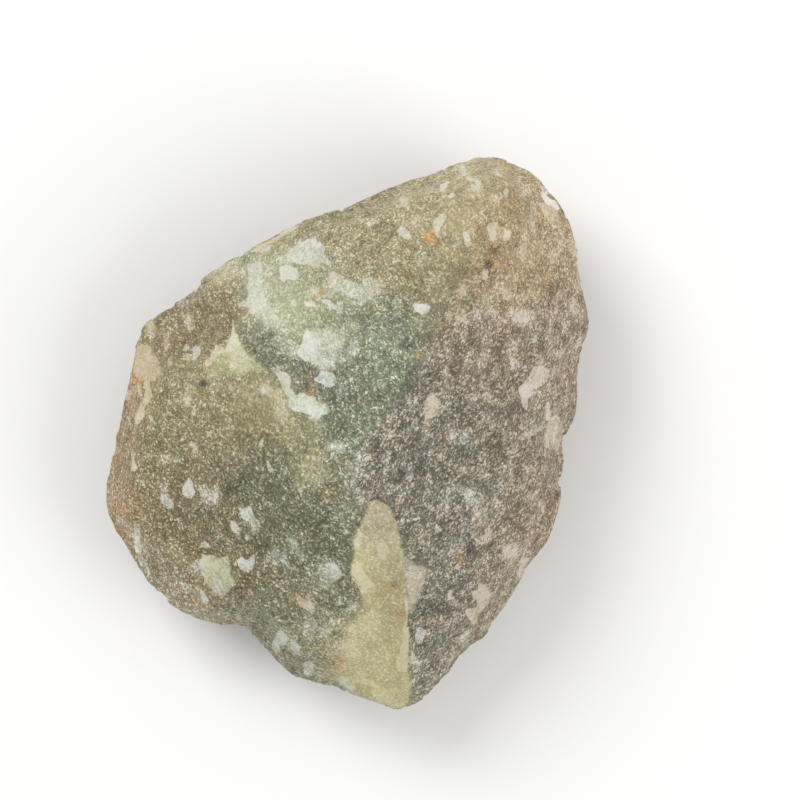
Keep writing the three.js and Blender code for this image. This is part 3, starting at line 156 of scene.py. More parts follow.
CAGE_FACES = [
    (472, 466, 467), (477, 472, 471), (471, 476, 477), (440, 461, 460), (440, 441, 461), (458, 471, 457), (476, 471, 458), (208, 207, 211), (208, 203, 207), (209, 204, 208),
    (204, 203, 208), (362, 356, 361), (61, 121, 62), (468, 472, 467), (449, 468, 467), (374, 380, 375), (375, 380, 381), (466, 465, 447), (470, 453, 457), (457, 471, 470),
    (439, 440, 460), (399, 440, 398), (441, 440, 399), (460, 461, 475), (477, 476, 475), (475, 474, 477), (464, 474, 463), (473, 465, 466), (477, 474, 473), (464, 465, 473),
    (473, 474, 464), (473, 472, 477), (466, 472, 473), (454, 458, 457), (457, 453, 454), (210, 206, 209), (205, 206, 200), (205, 204, 209), (209, 206, 205), (373, 378, 374),
    (162, 378, 373), (211, 207, 248), (212, 208, 211), (211, 231, 215), (215, 231, 219), (215, 212, 211), (216, 212, 215), (215, 220, 216), (219, 220, 215), (425, 424, 64),
    (122, 220, 219), (121, 220, 122), (356, 362, 357), (358, 352, 357), (320, 321, 316), (121, 61, 120), (120, 61, 60), (60, 61, 423), (62, 424, 423), (423, 61, 62),
    (466, 447, 448), (448, 447, 416), (467, 466, 448), (448, 449, 467), (464, 463, 444), (444, 463, 407), (376, 375, 381), (425, 453, 452), (453, 470, 452), (452, 424, 425),
    (452, 423, 424), (469, 471, 472), (469, 470, 471), (472, 468, 469), (469, 452, 470), (358, 364, 359), (353, 352, 358), (358, 359, 353), (353, 359, 354), (356, 357, 351),
    (351, 357, 352), (18, 100, 20), (438, 439, 460), (474, 475, 462), (462, 463, 474), (462, 475, 461), (461, 441, 462), (200, 206, 201), (201, 185, 200), (416, 447, 415),
    (415, 46, 416), (199, 205, 200), (181, 199, 183), (206, 210, 115), (115, 210, 116), (116, 51, 115), (379, 380, 374), (374, 378, 379), (368, 373, 374), (368, 367, 373),
    (368, 362, 361), (361, 367, 368), (219, 231, 230), (223, 122, 219), (123, 122, 223), (219, 230, 223), (223, 230, 228), (62, 121, 63), (63, 424, 62), (63, 64, 424),
    (121, 122, 63), (63, 122, 64), (426, 453, 425), (426, 427, 453), (65, 122, 123), (64, 122, 65), (425, 64, 65), (65, 426, 425), (325, 320, 324), (321, 320, 325),
    (328, 325, 324), (366, 367, 361), (374, 375, 369), (369, 368, 374), (362, 368, 369), (432, 454, 431), (83, 434, 82), (82, 434, 433), (315, 320, 316), (308, 301, 300),
    (222, 118, 217), (217, 212, 216), (222, 120, 119), (119, 118, 222), (221, 220, 121), (121, 120, 221), (216, 220, 221), (221, 217, 216), (221, 120, 222), (222, 217, 221),
    (417, 418, 449), (449, 448, 417), (417, 48, 49), (417, 448, 416), (416, 48, 417), (58, 421, 57), (57, 119, 58), (56, 118, 57), (118, 119, 57), (451, 469, 468),
    (423, 452, 451), (452, 469, 451), (190, 183, 191), (103, 102, 371), (25, 102, 103), (23, 102, 24), (24, 102, 25), (101, 102, 23), (23, 22, 101), (356, 351, 350),
    (350, 144, 145), (350, 351, 344), (310, 315, 316), (88, 436, 87), (459, 438, 460), (456, 438, 459), (460, 475, 459), (459, 475, 476), (476, 458, 459), (407, 463, 406),
    (463, 443, 406), (29, 407, 406), (406, 28, 29), (442, 443, 463), (463, 462, 442), (442, 462, 441), (456, 436, 437), (393, 438, 437), (437, 438, 456), (187, 188, 162),
    (188, 187, 177), (416, 46, 47), (47, 48, 416), (112, 44, 43), (42, 111, 43), (43, 111, 112), (46, 415, 45), (185, 201, 186), (112, 111, 186), (111, 185, 186),
    (204, 205, 198), (205, 199, 198), (198, 199, 181), (184, 183, 199), (200, 185, 184), (184, 199, 200), (185, 192, 184), (191, 183, 184), (184, 192, 191), (114, 115, 49),
    (206, 115, 114), (114, 201, 206), (49, 48, 114), (48, 47, 114), (114, 47, 46), (49, 115, 50), (50, 115, 51), (50, 51, 418), (50, 417, 49), (418, 417, 50),
    (383, 379, 166), (383, 384, 380), (380, 379, 383), (162, 373, 161), (373, 160, 161), (161, 187, 162), (160, 187, 161), (157, 187, 158), (373, 367, 159), (159, 160, 373),
    (159, 187, 160), (159, 158, 187), (241, 231, 211), (308, 300, 307), (307, 300, 130), (275, 276, 298), (247, 248, 278), (278, 246, 247), (211, 248, 247), (247, 246, 211),
    (252, 251, 207), (249, 248, 207), (207, 203, 202), (203, 195, 202), (202, 252, 207), (231, 232, 264), (123, 223, 226), (327, 328, 324), (324, 323, 327), (150, 366, 360),
    (360, 366, 361), (360, 147, 148), (362, 369, 363), (363, 364, 358), (358, 357, 363), (363, 357, 362), (458, 454, 455), (454, 432, 455), (455, 432, 433), (433, 434, 455),
    (455, 459, 458), (455, 434, 456), (456, 459, 455), (435, 436, 456), (456, 434, 435), (131, 300, 301), (83, 82, 131), (130, 300, 131), (55, 118, 56), (54, 55, 420),
    (420, 55, 56), (56, 57, 420), (420, 57, 421), (117, 53, 116), (54, 53, 117), (117, 55, 54), (60, 423, 422), (423, 451, 422), (422, 421, 58), (422, 451, 421),
    (408, 444, 407), (407, 31, 408), (408, 409, 444), (408, 31, 32), (32, 409, 408), (382, 376, 381), (104, 376, 382), (414, 415, 447), (414, 43, 44), (414, 413, 42),
    (42, 43, 414), (44, 45, 414), (414, 45, 415), (34, 107, 35), (35, 107, 36), (41, 111, 42), (42, 413, 41), (445, 465, 464), (464, 444, 445), (444, 409, 445),
    (181, 183, 182), (183, 190, 182), (182, 189, 181), (190, 189, 182), (381, 380, 385), (380, 384, 385), (377, 103, 371), (104, 103, 377), (371, 376, 377), (377, 376, 104),
    (104, 28, 27), (27, 103, 104), (28, 406, 27), (443, 442, 404), (404, 22, 23), (365, 359, 364), (102, 101, 365), (100, 359, 365), (365, 101, 100), (365, 364, 371),
    (371, 102, 365), (142, 350, 344), (321, 325, 326), (326, 322, 321), (326, 142, 322), (356, 350, 355), (355, 350, 145), (147, 360, 355), (361, 356, 355), (355, 360, 361),
    (19, 18, 20), (19, 401, 18), (98, 14, 97), (441, 399, 400), (400, 401, 441), (399, 14, 400), (316, 321, 317), (321, 322, 317), (322, 140, 317), (317, 140, 139),
    (315, 310, 309), (308, 314, 309), (309, 314, 315), (309, 301, 308), (354, 98, 349), (349, 98, 97), (344, 351, 345), (345, 351, 352), (378, 164, 165), (166, 379, 165),
    (165, 379, 378), (165, 189, 166), (188, 189, 165), (165, 164, 188), (162, 188, 163), (188, 164, 163), (163, 378, 162), (163, 164, 378), (179, 189, 188), (176, 187, 157),
    (176, 177, 187), (46, 45, 113), (113, 114, 46), (201, 114, 113), (112, 186, 113), (113, 186, 201), (113, 44, 112), (113, 45, 44), (240, 241, 273), (240, 272, 239),
    (273, 272, 240), (240, 232, 231), (231, 241, 240), (245, 276, 244), (211, 246, 245), (245, 241, 211), (278, 323, 277), (277, 246, 278), (277, 245, 246), (276, 245, 277),
    (274, 275, 298), (274, 297, 273), (298, 297, 274), (273, 241, 274), (207, 251, 250), (250, 249, 207), (252, 202, 253), (77, 432, 431), (77, 78, 432), (432, 78, 79),
    (80, 433, 79), (433, 432, 79), (306, 292, 294), (263, 230, 231), (231, 264, 263), (287, 292, 128), (227, 223, 228), (227, 226, 223), (328, 327, 331), (148, 147, 331),
    (282, 327, 281), (281, 253, 282), (252, 253, 281), (251, 252, 281), (325, 328, 329), (328, 331, 329), (329, 331, 147), (329, 326, 325), (145, 144, 329), (144, 326, 329),
    (151, 366, 150), (151, 152, 366), (151, 150, 282), (366, 152, 372), (157, 158, 372), (367, 366, 372), (372, 159, 367), (158, 159, 372), (194, 202, 195), (152, 151, 194),
    (150, 360, 149), (149, 360, 148), (148, 331, 149), (370, 363, 369), (370, 376, 371), (371, 364, 370), (364, 363, 370), (375, 376, 370), (370, 369, 375), (87, 436, 86),
    (436, 435, 86), (320, 315, 319), (315, 314, 319), (324, 320, 319), (319, 323, 324), (130, 131, 81), (81, 131, 82), (80, 130, 81), (81, 433, 80), (81, 82, 433),
    (418, 51, 52), (52, 51, 116), (116, 53, 52), (419, 53, 54), (54, 420, 419), (418, 52, 419), (419, 52, 53), (449, 418, 419), (212, 217, 213), (209, 208, 213),
    (208, 212, 213), (213, 210, 209), (218, 217, 118), (118, 55, 218), (55, 117, 218), (218, 213, 217), (60, 422, 59), (59, 422, 58), (58, 119, 59), (59, 120, 60),
    (59, 119, 120), (104, 382, 105), (29, 28, 105), (105, 28, 104), (33, 409, 32), (33, 34, 409), (107, 34, 33), (37, 36, 108), (108, 107, 391), (108, 36, 107),
    (410, 34, 35), (409, 34, 410), (410, 445, 409), (465, 445, 446), (412, 413, 446), (446, 447, 465), (446, 414, 447), (413, 414, 446), (171, 172, 388), (191, 192, 171),
    (192, 172, 171), (387, 385, 384), (167, 189, 190), (190, 168, 167), (166, 189, 167), (167, 383, 166), (384, 383, 167), (167, 168, 384), (193, 185, 111), (193, 192, 185),
    (388, 172, 390), (389, 390, 391), (388, 390, 389), (391, 107, 389), (389, 387, 388), (385, 387, 389), (25, 103, 26), (103, 27, 26), (26, 27, 406), (22, 404, 403),
    (403, 404, 442), (144, 350, 143), (350, 142, 143), (143, 326, 144), (142, 326, 143), (146, 355, 145), (147, 355, 146), (145, 329, 146), (146, 329, 147), (97, 14, 13),
    (13, 14, 399), (15, 98, 16), (14, 98, 15), (16, 400, 15), (15, 400, 14), (16, 98, 17), (18, 401, 17), (401, 400, 17), (17, 400, 16), (322, 142, 141),
    (141, 140, 322), (141, 142, 344), (344, 140, 141), (398, 440, 397), (440, 439, 397), (398, 397, 10), (340, 345, 346), (346, 343, 340), (352, 353, 346), (346, 345, 352),
    (336, 345, 340), (340, 335, 336), (344, 345, 336), (336, 140, 344), (139, 140, 336), (336, 335, 139), (138, 317, 139), (138, 335, 334), (139, 335, 138), (311, 310, 316),
    (316, 317, 311), (301, 309, 302), (302, 309, 310), (188, 177, 178), (178, 179, 188), (181, 189, 180), (189, 179, 180), (180, 198, 181), (180, 179, 198), (177, 176, 196),
    (196, 195, 203), (155, 195, 196), (196, 203, 204), (296, 272, 273), (273, 297, 296), (242, 274, 241), (242, 245, 244), (241, 245, 242), (279, 323, 278), (278, 248, 279),
    (248, 249, 279), (128, 77, 76), (76, 77, 431), (128, 292, 293), (293, 77, 128), (78, 77, 293), (293, 292, 306), (428, 454, 453), (428, 429, 454), (453, 427, 428),
    (123, 226, 225), (230, 263, 262), (291, 287, 268), (292, 287, 291), (291, 294, 292), (153, 372, 152), (153, 194, 195), (152, 194, 153), (254, 253, 202), (202, 194, 254),
    (282, 253, 254), (254, 151, 282), (254, 194, 151), (330, 331, 327), (330, 149, 331), (150, 149, 330), (282, 150, 330), (330, 327, 282), (84, 434, 83), (84, 435, 434),
    (323, 319, 318), (318, 277, 323), (318, 297, 298), (298, 276, 318), (276, 277, 318), (318, 319, 314), (450, 419, 420), (450, 420, 421), (468, 449, 450), (449, 419, 450),
    (450, 451, 468), (421, 451, 450), (214, 117, 116), (116, 210, 214), (210, 213, 214), (214, 218, 117), (213, 218, 214), (106, 105, 382), (106, 33, 32), (107, 33, 106),
    (32, 31, 106), (31, 105, 106), (29, 105, 30), (30, 105, 31), (30, 407, 29), (30, 31, 407), (392, 108, 391), (391, 390, 392), (109, 392, 175), (37, 108, 109),
    (108, 392, 109), (38, 39, 412), (37, 109, 38), (38, 109, 39), (445, 410, 411), (412, 446, 411), (411, 446, 445), (411, 36, 37), (35, 36, 411), (411, 410, 35),
    (411, 38, 412), (37, 38, 411), (384, 168, 169), (169, 387, 384), (169, 190, 191), (169, 168, 190), (412, 39, 40), (40, 413, 412), (40, 41, 413), (174, 193, 175),
    (175, 392, 174), (174, 392, 390), (25, 26, 405), (405, 26, 406), (405, 406, 443), (405, 24, 25), (443, 404, 405), (23, 24, 405), (405, 404, 23), (22, 403, 21),
    (21, 101, 22), (20, 100, 21), (100, 101, 21), (402, 19, 20), (20, 21, 402), (402, 21, 403), (401, 19, 402), (402, 403, 442), (441, 401, 402), (402, 442, 441),
    (99, 17, 98), (99, 98, 354), (100, 18, 99), (18, 17, 99), (354, 359, 99), (99, 359, 100), (96, 343, 348), (348, 349, 97), (97, 13, 348), (348, 13, 96),
    (11, 10, 96), (398, 10, 11), (9, 397, 8), (9, 10, 397), (4, 395, 3), (343, 346, 347), (349, 348, 347), (347, 348, 343), (347, 346, 353), (347, 353, 354),
    (354, 349, 347), (304, 311, 312), (317, 138, 312), (312, 311, 317), (301, 302, 132), (83, 131, 132), (132, 131, 301), (132, 84, 83), (198, 179, 197), (179, 178, 197),
    (204, 198, 197), (197, 196, 204), (197, 178, 177), (177, 196, 197), (155, 196, 156), (156, 196, 176), (156, 176, 157), (157, 372, 156), (156, 372, 155), (275, 274, 243),
    (274, 242, 243), (243, 242, 244), (244, 276, 243), (276, 275, 243), (249, 250, 280), (280, 279, 249), (280, 250, 251), (251, 281, 280), (323, 279, 280), (280, 327, 323),
    (280, 281, 327), (129, 79, 78), (78, 293, 129), (233, 264, 232), (232, 240, 233), (233, 240, 239), (239, 234, 233), (238, 237, 235), (238, 234, 239), (235, 234, 238),
    (306, 294, 295), (295, 296, 306), (269, 291, 268), (294, 291, 269), (268, 267, 269), (226, 259, 258), (258, 225, 226), (426, 65, 66), (66, 67, 426), (66, 65, 123),
    (123, 224, 66), (228, 230, 229), (230, 262, 229), (155, 372, 154), (372, 153, 154), (154, 195, 155), (154, 153, 195), (297, 318, 313), (313, 296, 297), (313, 318, 314),
    (313, 307, 306), (306, 296, 313), (308, 307, 313), (313, 314, 308), (386, 389, 107), (107, 106, 386), (381, 385, 386), (385, 389, 386), (386, 382, 381), (386, 106, 382),
    (39, 109, 110), (110, 40, 39), (175, 193, 110), (110, 109, 175), (41, 40, 110), (111, 41, 110), (110, 193, 111), (387, 169, 170), (170, 171, 388), (388, 387, 170),
    (191, 171, 170), (170, 169, 191), (173, 390, 172), (173, 174, 390), (193, 174, 173), (173, 172, 192), (192, 193, 173), (340, 343, 339), (339, 338, 334), (334, 335, 339),
    (339, 335, 340), (96, 13, 12), (12, 11, 96), (398, 11, 12), (12, 399, 398), (12, 13, 399), (10, 9, 95), (95, 343, 96), (96, 10, 95), (396, 397, 439),
    (8, 397, 396), (436, 88, 89), (89, 437, 436), (89, 88, 87), (87, 134, 89), (394, 3, 395), (394, 438, 393), (439, 438, 394), (394, 396, 439), (395, 396, 394),
    (303, 132, 302), (303, 311, 304), (310, 311, 303), (303, 302, 310), (84, 132, 85), (85, 86, 435), (435, 84, 85), (430, 429, 73), (431, 454, 430), (454, 429, 430),
    (430, 76, 431), (430, 75, 76), (79, 129, 299), (299, 130, 80), (80, 79, 299), (306, 307, 299), (299, 307, 130), (299, 293, 306), (299, 129, 293), (264, 233, 265),
    (265, 233, 234), (268, 287, 290), (290, 267, 268), (237, 238, 271), (239, 272, 271), (271, 238, 239), (272, 296, 271), (296, 295, 271), (236, 267, 235), (236, 269, 267),
    (235, 237, 236), (257, 258, 259), (225, 258, 257), (257, 224, 123), (123, 225, 257), (228, 229, 261), (261, 229, 262), (73, 126, 74), (74, 430, 73), (75, 430, 74),
    (137, 138, 334), (137, 312, 138), (334, 338, 333), (338, 337, 333), (333, 137, 334), (343, 95, 342), (342, 339, 343), (338, 339, 342), (5, 395, 4), (5, 6, 395),
    (341, 337, 338), (338, 342, 341), (7, 396, 395), (395, 6, 7), (8, 396, 7), (132, 303, 133), (133, 85, 132), (133, 304, 134), (133, 303, 304), (86, 85, 133),
    (133, 134, 87), (87, 86, 133), (286, 290, 287), (286, 126, 285), (267, 290, 266), (266, 290, 265), (266, 265, 234), (266, 234, 235), (235, 267, 266), (289, 286, 285),
    (290, 286, 289), (289, 261, 262), (288, 261, 289), (289, 263, 264), (289, 262, 263), (264, 265, 289), (265, 290, 289), (237, 271, 270), (270, 271, 295), (270, 295, 294),
    (270, 236, 237), (294, 269, 270), (269, 236, 270), (228, 261, 260), (260, 227, 228), (260, 261, 288), (260, 259, 226), (226, 227, 260), (260, 257, 259), (288, 257, 260),
    (284, 289, 285), (288, 289, 284), (285, 126, 284), (90, 89, 134), (1, 90, 91), (1, 394, 393), (393, 437, 1), (332, 333, 337), (92, 332, 337), (91, 332, 92),
    (92, 5, 4), (4, 3, 92), (3, 91, 92), (8, 7, 94), (94, 9, 8), (94, 95, 9), (94, 342, 95), (94, 341, 342), (127, 287, 128), (127, 286, 287),
    (128, 76, 127), (76, 75, 127), (75, 74, 127), (127, 74, 126), (126, 286, 127), (67, 66, 256), (256, 255, 67), (256, 66, 224), (224, 257, 256), (125, 283, 288),
    (288, 284, 125), (71, 284, 126), (71, 125, 284), (429, 428, 71), (2, 91, 3), (2, 1, 91), (3, 394, 2), (394, 1, 2), (89, 90, 0), (90, 1, 0),
    (437, 89, 0), (0, 1, 437), (91, 90, 135), (135, 332, 91), (337, 341, 93), (93, 92, 337), (93, 7, 6), (6, 5, 93), (5, 92, 93), (341, 94, 93),
    (93, 94, 7), (255, 256, 124), (288, 283, 124), (124, 257, 288), (124, 256, 257), (125, 71, 70), (70, 428, 427), (70, 71, 428), (72, 126, 73), (72, 71, 126),
    (73, 429, 72), (429, 71, 72), (305, 90, 134), (305, 135, 90), (134, 304, 305), (304, 312, 305), (333, 332, 136), (332, 135, 136), (135, 305, 136), (137, 333, 136),
    (312, 137, 136), (136, 305, 312), (67, 255, 68), (68, 124, 283), (255, 124, 68), (283, 125, 69), (125, 70, 69), (69, 68, 283), (427, 426, 69), (69, 70, 427),
    (426, 67, 69), (67, 68, 69),
]
HEART = np.array([0.0, 0.0, 11.0])
LENGTH_Y, WIDTH_X, HEIGHT_Z = 57.3, 50.4, 27.2
RELIEF = [(9.0, 0.34), (4.2, 0.22), (2.3, 0.12)]      # wavelength, depth
FINE = [(1.25, 0.060), (0.72, 0.045)]
SPLIT = 98                                           # 20 * SPLIT^2 faces
CAMERA_ABOVE = 450.0                                 # over the outline's height
EYE = (5.625, 3.49)                                  # where the camera looks
GIRTH_Z = 11.0


def srgb(r, g, b):
    c = np.array([r, g, b]) / 255.0
    return np.where(c <= 0.04045, c / 12.92, ((c + 0.055) / 1.055) ** 2.4)


def lattice(ix, iy, iz, seed):
    with np.errstate(over="ignore"):
        h = (ix.astype(np.uint32) * np.uint32(0x27D4EB2D)) ^ (iy.astype(np.uint32) * np.uint32(0x165667B1))
        h ^= iz.astype(np.uint32) * np.uint32(0x9E3779B1)
        h ^= np.uint32((seed * 0x85EBCA6B) & 0xFFFFFFFF)
        h = (h ^ (h >> np.uint32(15))) * np.uint32(0x2C1B3C6D)
        h = (h ^ (h >> np.uint32(12))) * np.uint32(0x297A2D39)
        h = h ^ (h >> np.uint32(15))
    return h.astype(np.float64) / 2147483648.0 - 1.0


def noise(p, seed):
    """Smooth lattice noise, -1 to 1, at the points p."""
    i = np.floor(p).astype(np.int64)
    f = p - i
    f = f * f * f * (f * (f * 6 - 15) + 10)
    out = np.zeros(len(p))
    for dx in (0, 1):
        for dy in (0, 1):
            for dz in (0, 1):
                w = ((f[:, 0] if dx else 1 - f[:, 0]) * (f[:, 1] if dy else 1 - f[:, 1])
                     * (f[:, 2] if dz else 1 - f[:, 2]))
                out += w * lattice(i[:, 0] + dx, i[:, 1] + dy, i[:, 2] + dz, seed)
    return out


def smooth(lo, hi, x):
    t = np.clip((x - lo) / (hi - lo), 0, 1)
    return t * t * (3 - 2 * t)


def ball(n):
    """Directions and faces of an icosahedron with each edge cut in n."""
    t = (1 + 5 ** 0.5) / 2
    v = np.array([(-1, t, 0), (1, t, 0), (-1, -t, 0), (1, -t, 0), (0, -1, t), (0, 1, t),
                  (0, -1, -t), (0, 1, -t), (t, 0, -1), (t, 0, 1), (-t, 0, -1), (-t, 0, 1)])
    v /= np.linalg.norm(v[0])
    f = [(0, 11, 5), (0, 5, 1), (0, 1, 7), (0, 7, 10), (0, 10, 11), (1, 5, 9), (5, 11, 4),
         (11, 10, 2), (10, 7, 6), (7, 1, 8), (3, 9, 4), (3, 4, 2), (3, 2, 6), (3, 6, 8),
         (3, 8, 9), (4, 9, 5), (2, 4, 11), (6, 2, 10), (8, 6, 7), (9, 8, 1)]
    ij = [(i, j) for i in range(n + 1) for j in range(n + 1 - i)]
    at = {k: m for m, k in enumerate(ij)}
    w = np.array([((n - i - j) / n, i / n, j / n) for i, j in ij])
    local = []
    for i, j in ij:
        if i + j < n:
            local.append((at[i, j], at[i + 1, j], at[i, j + 1]))
        if i + j < n - 1:
            local.append((at[i + 1, j], at[i + 1, j + 1], at[i, j + 1]))
    local = np.array(local)
    points = np.vstack([w @ v[list(tri)] for tri in f])
    faces = np.vstack([local + k * len(ij) for k in range(20)])
    key = np.round(points * 1e6).astype(np.int64)
    _, first, same = np.unique(key, axis=0, return_index=True, return_inverse=True)
    points = points[first]
    faces = same.reshape(-1)[faces]
    return points / np.linalg.norm(points, axis=1)[:, None], faces


corners = np.array(RIM + BEVEL + TOP + WALL + UNDER + BASE) - HEART
cage = np.array(CAGE_FACES)
inverse = np.linalg.inv(np.transpose(corners[cage], (0, 2, 1)))
side = np.cross(corners[cage[:, 1]] - corners[cage[:, 0]], corners[cage[:, 2]] - corners[cage[:, 0]])
side /= np.linalg.norm(side, axis=1)[:, None]


def leave(d):
    """How far each ray from the heart goes, and the lean of the face it meets."""
    reach = np.empty(len(d))
    lean = np.empty(len(d))
    for s in range(0, len(d), 3000):
        part = d[s:s + 3000]
        w = np.einsum("fij,nj->nfi", inverse, part, optimize=True)
        k = w.min(2).argmax(1)
        pick = w[np.arange(len(part)), k]
        reach[s:s + 3000] = 1 / pick.sum(1)
        lean[s:s + 3000] = (side[k] * part).sum(1)
    return reach, lean


def neighbours_mean(x, edges, count):
    out = np.zeros_like(x)
    for a, b in ((0, 1), (1, 0)):
        if x.ndim == 1:
            out += np.bincount(edges[:, a], x[edges[:, b]], len(x))
        else:
            for k in range(x.shape[1]):
                out[:, k] += np.bincount(edges[:, a], x[edges[:, b], k], len(x))
    return out / (count if x.ndim == 1 else count[:, None])


def normals(p, faces):
    n = np.cross(p[faces[:, 1]] - p[faces[:, 0]], p[faces[:, 2]] - p[faces[:, 0]])
    out = np.zeros_like(p)
    for k in range(3):
        for c in range(3):
            out[:, k] += np.bincount(faces[:, c], n[:, k], len(p))
    return out / np.maximum(np.linalg.norm(out, axis=1), 1e-12)[:, None]


# ---------------------------------------------------------------- the surface
rays, faces = ball(SPLIT)
rays = rays * (WIDTH_X / 2, LENGTH_Y / 2, HEIGHT_Z / 2)
rays[:, 2] += 4.5
rays /= np.linalg.norm(rays, axis=1)[:, None]
edges = np.vstack([faces[:, [0, 1]], faces[:, [1, 2]], faces[:, [2, 0]]])
edges = np.unique(np.sort(edges, axis=1), axis=0)
count = np.bincount(edges.ravel(), minlength=len(rays)).astype(float)
reach, lean = leave(rays)
for _ in range(7):                                    # worn ridges
    reach = reach * 0.4 + neighbours_mean(reach, edges, count) * 0.6
lean = np.maximum(0.6, lean)
for _ in range(4):
    lean = neighbours_mean(lean, edges, count)
p = rays * reach[:, None] + HEART
big = sum(d * noise(p / w, 11 + i) for i, (w, d) in enumerate(RELIEF))
edge_calm = 0.3 + 0.7 * smooth(0.16, 0.45, np.abs(rays[:, 2]))      # a cleaner outline
p = p + rays * (big * edge_calm / lean)[:, None]

# plan position: where a point is seen from above, on the girth's level, mm
def plan(q):
    grow = 1 / (1 - (q[:, 2] - GIRTH_Z) / CAMERA_ABOVE)
    return np.column_stack([EYE[0] + (q[:, 0] - EYE[0]) * grow, EYE[1] + (q[:, 1] - EYE[1]) * grow])


def inside(uv, poly):
    """Signed distance to a closed outline, positive inside."""
    poly = np.array(poly, float)
    a, b = poly, np.roll(poly, -1, 0)
    dist = np.full(len(uv), 1e9)
    odd = np.zeros(len(uv), bool)
    for (ax, ay), (bx, by) in zip(a, b):
        ex, ey = bx - ax, by - ay
        wx, wy = uv[:, 0] - ax, uv[:, 1] - ay
        t = np.clip((wx * ex + wy * ey) / (ex * ex + ey * ey + 1e-12), 0, 1)
        dist = np.minimum(dist, np.hypot(wx - ex * t, wy - ey * t))
        cross = (ay > uv[:, 1]) != (by > uv[:, 1])
        if abs(by - ay) > 1e-9:
            odd ^= cross & (uv[:, 0] < (bx - ax) * (uv[:, 1] - ay) / (by - ay) + ax)
    return np.where(odd, dist, -dist)


def oval(uv, cx, cy, rx, ry, turn=0.0):
    c, s = math.cos(math.radians(turn)), math.sin(math.radians(turn))
    x, y = uv[:, 0] - cx, uv[:, 1] - cy
    x, y = (x * c + y * s) / rx, (-x * s + y * c) / ry
    return (1 - np.hypot(x, y)) * min(rx, ry)


def near(uv, cx, cy, r):
    return np.exp(-((uv[:, 0] - cx) ** 2 + (uv[:, 1] - cy) ** 2) / (r * r))


uv = plan(p)
n0 = normals(p, faces)
up = smooth(-0.05, 0.25, n0[:, 2])                    # 1 on the upper side

# ---------------------------------------------------------------- features seen on top
RIDGE = [
    (14.38, 25.36), (12.92, 21.72), (11.88, 19.01), (10.83, 15.47), (9.58, 12.03), (8.23, 8.8), (6.88, 5.89), (5.52, 3.8),
    (4.17, 2.03), (2.6, -0.05), (1.46, -1.72), (0.73, -3.28), (0.42, -5.26), (0.62, -6.61), (1.15, -7.76), (2.71, -7.24),
    (4.17, -7.34), (4.9, -8.39), (5.52, -10.89), (6.15, -12.76), (6.88, -13.39), (7.71, -13.8), (8.12, -14.95), (7.71, -16.51),
    (6.98, -18.18), (6.46, -19.43), (6.25, -20.78), (6.46, -23.18), (6.56, -25.57), (6.67, -27.14), (6.35, -29.01),
]
SPLIT_FACE = [
    (2.29, -7.45), (2.71, -7.14), (3.33, -7.03), (4.17, -7.34), (4.69, -7.97), (5.21, -9.32), (5.62, -10.89), (6.04, -12.66),
    (6.35, -13.59), (6.25, -14.95), (6.2, -16.72), (6.35, -18.07), (6.46, -19.43), (6.51, -21.3), (6.3, -23.07), (6.46, -24.64),
    (6.77, -26.3), (6.67, -27.66), (5.83, -28.7), (4.58, -28.59), (2.29, -27.86), (0.42, -27.14), (-0.83, -26.3), (-1.56, -25.26),
    (-1.46, -24.01), (-1.04, -22.66), (-0.42, -21.3), (0.1, -19.95), (0.73, -19.01), (1.46, -18.07), (1.56, -17.24), (1.35, -15.99),
    (0.83, -15.26), (0.47, -14.53), (0.62, -13.8), (0.94, -12.45), (0.83, -11.51), (1.09, -10.57), (1.56, -9.53), (1.98, -8.39),
]
SPLIT_SIDE = [
    (6.04, -12.76), (6.88, -13.39), (7.81, -13.8), (8.54, -14.43), (8.12, -15.68), (7.71, -16.51), (6.98, -18.18), (6.46, -19.43),
    (6.25, -18.59), (6.35, -16.3),
]
TONGUE = [
    (-11.67, 11.82), (-11.46, 10.99), (-11.15, 10.26), (-10.73, 9.43), (-10.21, 8.59), (-9.58, 7.86), (-8.85, 7.34), (-8.12, 6.93),
    (-8.54, 6.3), (-9.38, 6.2), (-10.21, 6.3), (-10.94, 5.89), (-11.67, 5.68), (-12.29, 6.09), (-13.02, 5.89), (-13.75, 5.68),
    (-14.58, 5.78), (-14.38, 6.61), (-13.96, 7.55), (-13.44, 8.7), (-12.81, 9.11), (-12.29, 10.26),
]
BROWN_BREAK = [
    (-20.94, 11.2), (-18.12, 13.18), (-15.21, 15.05), (-12.6, 14.95), (-10.52, 13.91), (-10.42, 12.66), (-11.46, 11.61), (-11.88, 11.61),
    (-12.19, 10.36), (-12.5, 9.53), (-12.92, 9.01), (-13.54, 9.32), (-13.75, 8.59), (-14.06, 7.97), (-14.79, 7.86), (-15.42, 8.07),
    (-16.04, 8.49), (-16.67, 7.86), (-17.29, 7.66), (-17.81, 7.45), (-18.23, 6.82), (-18.85, 6.82), (-19.38, 7.24), (-19.9, 7.86),
    (-20.42, 8.7), (-21.25, 9.64),
]
FROST_FIELD = [
    (-10.31, 18.49), (-8.75, 19.32), (-6.04, 20.16), (-3.54, 20.89), (-2.5, 19.53), (-2.92, 17.86), (-2.08, 16.82), (0.62, 16.2),
    (2.71, 16.61), (4.17, 15.57), (3.54, 14.11), (1.67, 12.66), (1.04, 11.2), (-0.21, 9.74), (-1.04, 7.45), (-2.5, 7.03),
    (-3.75, 7.24), (-5, 8.49), (-6.46, 8.7), (-7.08, 10.16), (-8.12, 11.2), (-9.17, 12.24), (-10.42, 13.07), (-10.21, 14.95),
    (-10, 16.82),
]
